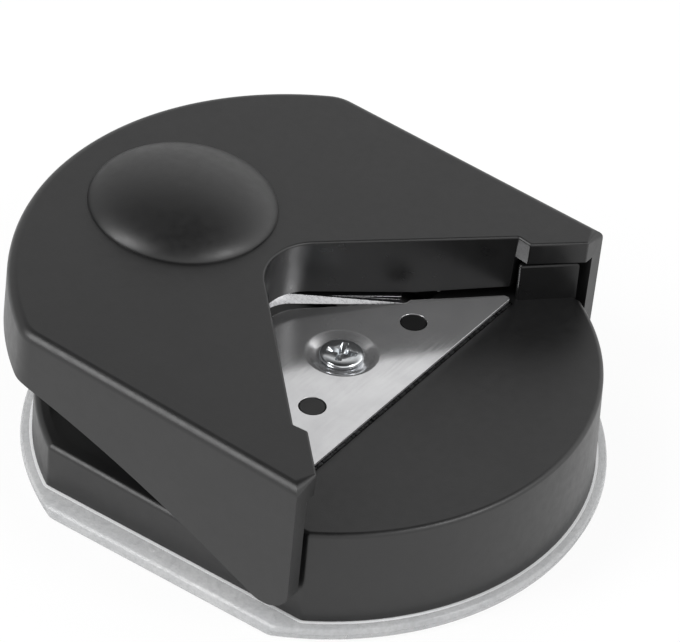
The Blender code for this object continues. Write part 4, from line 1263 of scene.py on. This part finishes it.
def post_bottom():
    """The level at which the post meets the base's stub when the lever is fully pressed."""
    drop = STUB_TOP + TOUCH_GAP - HINGE_Z + DOME_REACH * math.sin(BLADE_TILT)
    return drop / math.cos(BLADE_TILT)


def blade_boss(name, side, radius, low, high):
    """An upright rod at one of the blade's screws, turned with the blade."""
    boss = rod(name, radius, low, high, (side * BLADE_SCREW_X, BLADE_SCREW_REACH))
    boss.data.transform(BLADE_TO_COVER)
    return boss


def cover_shell():
    """The cover's walls and roof, with its dome on and its inside, notch and skirts cut."""
    outline, edges = cover_outline(LEVER_FRONT)
    forward = (LEVER_RISE + LOBE_RADIUS) * math.tan(FRONT_DRAFT)
    lower = cover_outline(LEVER_FRONT + forward)[0]
    rings = edge_rings(outline, -LOBE_RADIUS, LEVER_RISE, edges)
    cover = loft("cover_moulding", [(lower, -LOBE_RADIUS), *rings[1:]])
    add(cover, thumb_dome())
    cut(
        cover,
        prism("cover_hollow", cover_hollow_outline(), BELOW_LOBE, ROOF_UNDERSIDE),
        below_notch_walls(),
        below_skirt(),
        dome_hollow(),
    )
    return cover


def add_spring_post(cover):
    """Adds the post that goes down inside the spring and the collar that the spring lifts."""
    at = (0, DOME_REACH)
    collar = circle(POST_COLLAR_RADIUS, at, COLLAR_SIDES)
    inside = LEVER_RISE + DOME_HEIGHT - LEVER_ROOF / 2
    roof_middle = ROOF_UNDERSIDE + LEVER_ROOF / 2
    add(
        cover,
        prism("post_collar", collar, ROOF_UNDERSIDE - POST_COLLAR_DROP, inside),
        rod("spring_post", POST_RADIUS, post_bottom(), roof_middle, at),
    )


def add_cover_side(cover, side, word):
    """Adds a side's ribs and the boss for its blade screw."""
    half = RIB_THICKNESS / 2
    x = side * ROOF_RIB_X
    back = LEVER_ARC_Y + math.sqrt((LEVER_BACK_RADIUS - LEVER_WALL) ** 2 - ROOF_RIB_X**2)
    rib = box(
        f"roof_rib_{word}",
        (x - half, x + half),
        (notch_side(NOTCH_CORNER + LEVER_WALL, ROOF_RIB_X), back + half),
        (ROOF_UNDERSIDE - ROOF_RIB_DEPTH, ROOF_UNDERSIDE + LEVER_ROOF / 2),
    )
    near_post = side * (POST_COLLAR_RADIUS + POST_COLLAR_DROP)
    in_wall = side * (LEVER_INNER_FLAT + LEVER_WALL / 4)
    span = box(
        f"post_rib_{word}",
        sorted((near_post, in_wall)),
        (DOME_REACH - half, DOME_REACH + half),
        (ROOF_UNDERSIDE - POST_RIB_DEPTH, ROOF_UNDERSIDE + LEVER_ROOF / 3),
    )
    low = BLADE_TOP + STACK_GAP
    high = ROOF_UNDERSIDE + LEVER_ROOF / 2 - BLADE_SCREW_REACH * math.sin(BLADE_TILT)
    add(cover, rib, span, blade_boss(f"blade_boss_{word}", side, BLADE_BOSS_RADIUS, low, high))


def cover_moulding():
    """The whole lever cover, with the sockets for the pin and the screws cut last."""
    cover = cover_shell()
    add_spring_post(cover)
    hole = BLADE_SHANK_RADIUS + HOLE_PLAY
    hole_low = BLADE_TOP - OVERRUN
    hole_high = BLADE_BOTTOM + BLADE_SCREW_LENGTH + STACK_GAP
    screw_holes = []
    for side, word in SIDES:
        add_cover_side(cover, side, word)
        screw_holes.append(blade_boss(f"blade_socket_{word}", side, hole, hole_low, hole_high))
    ends = LEVER_INNER_FLAT + PIN_SOCKET
    sockets = turn_across(prism("pin_sockets", circle(PIN_RADIUS + PIN_PLAY), -ends, ends))
    cut(cover, sockets, *screw_holes)
    return fine_edges(solved(cover), COVER_FINE_EDGE)


def blade_v(corner):
    """The blade's V seen from above, left to right, whose sides meet at a corner."""
    end = corner - BLADE_ARM_X
    return [(-BLADE_ARM_X, end), *v_apex(corner, CUT_RADIUS), (BLADE_ARM_X, end)]


def blade_corner():
    """Where the V's sides meet, so that its arms just clear the die as they pass it."""
    passing = Vector((DIE_CORNER + BLADE_GAP - BLADE_ARM_X - HINGE_Y, TABLE - HINGE_Z))
    return math.sqrt(passing.length_squared - BLADE_BOTTOM**2) + BLADE_ARM_X


def blade_outline():
    """The blade's plate: its V, its sides and its back."""
    spread = BLADE_ARM_WIDTH / math.sqrt(2)
    outer = (BLADE_ARM_X + spread, blade_corner() - BLADE_ARM_X + spread)
    side = (outer[0], outer[1] + BLADE_SIDE_LENGTH)
    right = [outer, side, (BLADE_BACK_HALF, BLADE_BACK_REACH)]
    return both_sides(right, []) + blade_v(blade_corner() + BLADE_SET_BACK)


def ground_edge():
    """The strip along the blade's V, whose ground face leans back and is highest at the corner."""
    front = blade_v(blade_corner())
    outline = front + blade_v(blade_corner() + EDGE_DEPTH)[::-1]
    low, high = front[0][1], front[len(front) // 2][1]

    def rise(x, y):
        return EDGE_END_RISE + (EDGE_RISE - EDGE_END_RISE) * (y - low) / (high - low)

    lean = [-rise(x, y) * math.tan(EDGE_LEAN) for x, y in front] + [0] * len(front)
    top = (offset(outline, lean), lambda x, y: BLADE_BOTTOM + rise(x, y))
    return loft("ground_edge", [(outline, BLADE_BOTTOM), top])


def cutting_blade():
    """The blade: its plate with the ground edge on it and a hole for each screw."""
    made = prism("cutting_blade", blade_outline(), BLADE_BOTTOM, BLADE_TOP)
    add(made, ground_edge())
    radius = BLADE_SHANK_RADIUS + HOLE_PLAY
    low, high = BLADE_BOTTOM - OVERRUN, BLADE_TOP + OVERRUN
    for side, word in SIDES:
        at = (side * BLADE_SCREW_X, BLADE_SCREW_REACH)
        cut(made, rod(f"blade_hole_{word}", radius, low, high, at))
    return fine_edges(solved(made), METAL_FINE_EDGE)


def blade_screws(coil, plating):
    """The blade's two screws, heads down, as one mesh about the hinge pin."""
    screw = cross_screw("blade_screw", BLADE_SHANK_RADIUS / BLADE_HEAD_SHARE, BLADE_SCREW_LENGTH)
    screw.data.transform(Matrix.Diagonal((BLADE_HEAD_SHARE, BLADE_HEAD_SHARE, 1, 1)))
    join(screw, thread("blade_thread", coil, BLADE_SHANK_RADIUS, BLADE_SCREW_LENGTH, plating))
    sizes = {
        "Piece": screw,
        "Count": len(SIDES),
        "Spacing": 2 * BLADE_SCREW_X,
        "Reach": BLADE_SCREW_REACH,
        "Height": BLADE_BOTTOM - STACK_GAP,
        "Turn": (math.pi, 0.0, 0.0),
        "Material": plating,
    }
    pair = from_tree("blade_screws", row_tree(), sizes)
    bpy.data.objects.remove(screw, do_unlink=True)
    return pair


def lifting_spring(coil, plating):
    """The return spring, with the middle of its wire's lower end at the origin's level."""
    low, high = (corner.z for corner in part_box("return_spring"))
    end_pitch = SPRING_WIRE + SPRING_END_GAP
    sizes = {
        "Radius": SPRING_RADIUS,
        "Wire Radius": SPRING_WIRE / 2,
        "Turns": float(SPRING_TURNS),
        "End Pitch": end_pitch,
        "Pitch": (high - low - SPRING_WIRE - 2 * end_pitch) / (SPRING_TURNS - 2),
        "Points Per Turn": SPRING_POINTS_PER_TURN,
        "Wire Sides": SPRING_WIRE_SIDES,
        "Material": plating,
    }
    return from_tree("lifting_spring", coil, sizes)


# Which faces have a piece's second material


def in_notch(centre, normal):
    """Whether a face of the cover, in its own frame, is one of the notch's walls."""
    upright = abs(normal.z) < WALL_UPWARD_SHARE
    ahead_of_walls = centre.y < notch_side(NOTCH_CORNER + LEVER_WALL / 2, abs(centre.x))
    within = abs(centre.x) < LEVER_FLAT - LEVER_EDGE
    return upright and ahead_of_walls and within and centre.y > -LEVER_FRONT * NOTCH_FRONT_SHARE


def on_stop(centre, normal):
    """Whether a face of the base is on a card stop."""
    return centre.z > TABLE + FINE_EDGE and abs(centre.x) > PEG_X * STOPS_BEYOND_PEG_SHARE


def on_ground_edge(centre, normal):
    """Whether a face of the blade, in its own frame, is on its ground edge."""
    return normal.y < -GROUND_FORWARD_SHARE and normal.z > GROUND_UPWARD_SHARE


def beside_base(centre, normal):
    """Whether a face of the tray's flange is in the thin line along the foot of the base, which
    carries a painted highlight.
    """
    reach = BASE_RADIUS + TRAY_LIT_EDGE + WELD
    if centre.y > 0:
        reach -= BACK_TRIM
    within = centre.xy.length < reach and abs(centre.x) < BASE_FLAT + TRAY_LIT_EDGE + WELD
    level = normal.z > LEVEL_UPWARD_SHARE and centre.z > TRAY_FLANGE - TRAY_EDGE
    return within and level


# Studio and camera


def studio():
    """A pale surround, which shows white behind the object and darkens overhead in its gloss."""
    world = bpy.data.worlds.new("studio")
    bpy.context.scene.world = world
    world.use_nodes = True
    made = Tree(world.node_tree)
    place = made.add("ShaderNodeTexCoord").outputs["Generated"]
    height = made.add("ShaderNodeSeparateXYZ", Vector=place).outputs["Z"]
    ramp = made.add("ShaderNodeValToRGB", Fac=height)
    elements = ramp.color_ramp.elements
    elements.remove(elements[1])
    for i, (degrees, level) in enumerate(GLOSS_BY_HEIGHT_SHARES):
        position = math.sin(math.radians(degrees))
        element = elements[0] if i == 0 else elements.new(position)
        element.position = position
        element.color = (level, level, level, 1)
    across = made.add("ShaderNodeVectorMath", {"operation": "DOT_PRODUCT"})
    made.give(across.inputs[0], place)
    made.give(across.inputs[1], (math.cos(CAMERA_AZIMUTH), math.sin(CAMERA_AZIMUTH), 0))
    tilt = made.maths("MULTIPLY_ADD", across.outputs["Value"], GLOSS_TILT_SHARE, 1)
    gloss = made.add("ShaderNodeBackground", Color=ramp.outputs["Color"], Strength=tilt)
    even = made.tree.nodes["Background"]
    made.fill(even, {"Color": WHITE, "Strength": SURROUND_LIGHT})
    white = made.add("ShaderNodeBackground", Color=WHITE)
    rays = made.add("ShaderNodeLightPath").outputs
    seen = made.maths("MAXIMUM", rays["Is Camera Ray"], rays["Is Transmission Ray"])
    unseen = made.mixed(rays["Is Glossy Ray"], even, gloss)
    made.end("World Output", made.mixed(seen, unseen, white))


def floor():
    """A pale floor that looks nearly white, also in metal and through the clear tray."""
    bpy.ops.mesh.primitive_plane_add(size=FLOOR_SIZE, location=(0, 0, -FLOOR_GAP))
    plane = bpy.context.active_object
    plane.name = "floor"
    material, made, shader = start_material("pale_floor")
    made.fill(shader, {"Base Color": FLOOR_COLOUR, "Roughness": FLOOR_ROUGHNESS})
    rays = made.add("ShaderNodeLightPath").outputs
    seen = made.maths("MAXIMUM", rays["Is Camera Ray"], rays["Is Glossy Ray"])
    seen = made.maths("MAXIMUM", seen, rays["Is Transmission Ray"])
    share = made.maths("MULTIPLY", seen, FLOOR_WHITE_SHARE)
    glow = made.add("ShaderNodeEmission", Color=WHITE)
    made.end("Material Output", made.mixed(share, shader, glow))
    plane.data.materials.append(material)


def softbox(name, towards, height):
    """A soft oblong lamp that faces the object from a direction."""
    light = bpy.data.lights.new(name, "AREA")
    light.shape = "RECTANGLE"
    light.size, light.size_y = SOFTBOX_WIDTH, height
    light.energy = SOFTBOX_RADIANCE * math.pi * SOFTBOX_WIDTH * height
    lamp = in_scene(name, light)
    lamp.location = Vector(towards).normalized() * SOFTBOX_DISTANCE
    lamp.rotation_euler = lamp.location.to_track_quat("Z", "Y").to_euler()


def camera():
    """The photograph's camera, from its azimuth, elevation, roll and distance."""
    lens = bpy.data.cameras.new("camera")
    lens.sensor_width = SENSOR_MM
    lens.lens = FOCAL_PIXELS / IMAGE_WIDTH * SENSOR_MM
    lens.clip_start = CAMERA_DISTANCE * CAMERA_NEAR_SHARE
    lens.clip_end = CAMERA_DISTANCE * CAMERA_FAR_SHARE
    made = in_scene("camera", lens)
    made.matrix_world = (
        Matrix.Translation((0, 0, CAMERA_TARGET_Z))
        @ Matrix.Rotation(CAMERA_AZIMUTH, 4, "Z")
        @ Matrix.Rotation(math.pi / 2 - CAMERA_ELEVATION, 4, "X")
        @ Matrix.Rotation(CAMERA_ROLL, 4, "Z")
        @ Matrix.Translation((CAMERA_RIGHT, CAMERA_UP, CAMERA_DISTANCE))
    )
    bpy.context.scene.camera = made


# The whole scene


def build():
    camera()
    studio()
    floor()
    softbox("left_softbox", LEFT_SOFTBOX_TOWARDS, LEFT_SOFTBOX_HEIGHT)
    softbox("front_softbox", FRONT_SOFTBOX_TOWARDS, FRONT_SOFTBOX_HEIGHT)

    blacks = [finished("grained_black"), finished("polished_black")]
    # The tray's second material is a painted highlight along the foot of the base
    clears = [finished("clear_moulding"), finished("lit_plastic")]
    steel = finished("ground_steel")
    plating = finished("bright_plating")
    sheet = finished("polished_sheet")
    coil = coil_tree()

    tray = clear_tray()
    dressed(tray, clears, "tray", ["chip_tray"], second_on=beside_base)
    base = base_moulding()
    dressed(base, blacks, "base", ["base_housing"], second_on=on_stop)
    dressed(card_plate(), [sheet], "base", ["card_plate"])

    screw = cross_screw("plate_screw_bright", SHANK_RADIUS, SCREW_LENGTH)
    join(screw, thread("plate_thread", coil, SHANK_RADIUS, SCREW_LENGTH, plating))
    in_dish = Matrix.Translation((0, SCREW_Y, DISH_TOP + STACK_GAP))
    turned = in_dish @ Matrix.Rotation(SCREW_TURN, 4, "Z")
    dressed(screw, [plating], "base", ["plate_screw"], turned)

    cover = cover_moulding()
    dressed(cover, blacks, "lever", ["lever_cover"], COVER_PLACE, in_notch)
    blade = cutting_blade()
    # The blade's faces carry painted shade; only its ground edge is bright steel
    metals = [finished("dark_scale"), steel]
    dressed(blade, metals, "lever", ["blade"], BLADE_PLACE, on_ground_edge)

    screws = blade_screws(coil, plating)
    nodes = ["blade_screw_left", "blade_screw_right"]
    dressed(screws, [plating], "lever", nodes, BLADE_PLACE)

    spring = lifting_spring(coil, plating)
    seat = Matrix.Translation((0, SPRING_Y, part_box("return_spring")[0].z + SPRING_WIRE / 2))
    dressed(spring, [plating], "base", ["return_spring"], seat)

    for node, made_of in (("die_plate", steel), ("hinge_pin", plating)):
        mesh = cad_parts[node].data
        mesh.materials.clear()
        mesh.materials.append(made_of)


build()

bpy.context.scene.view_settings.view_transform = "Standard"
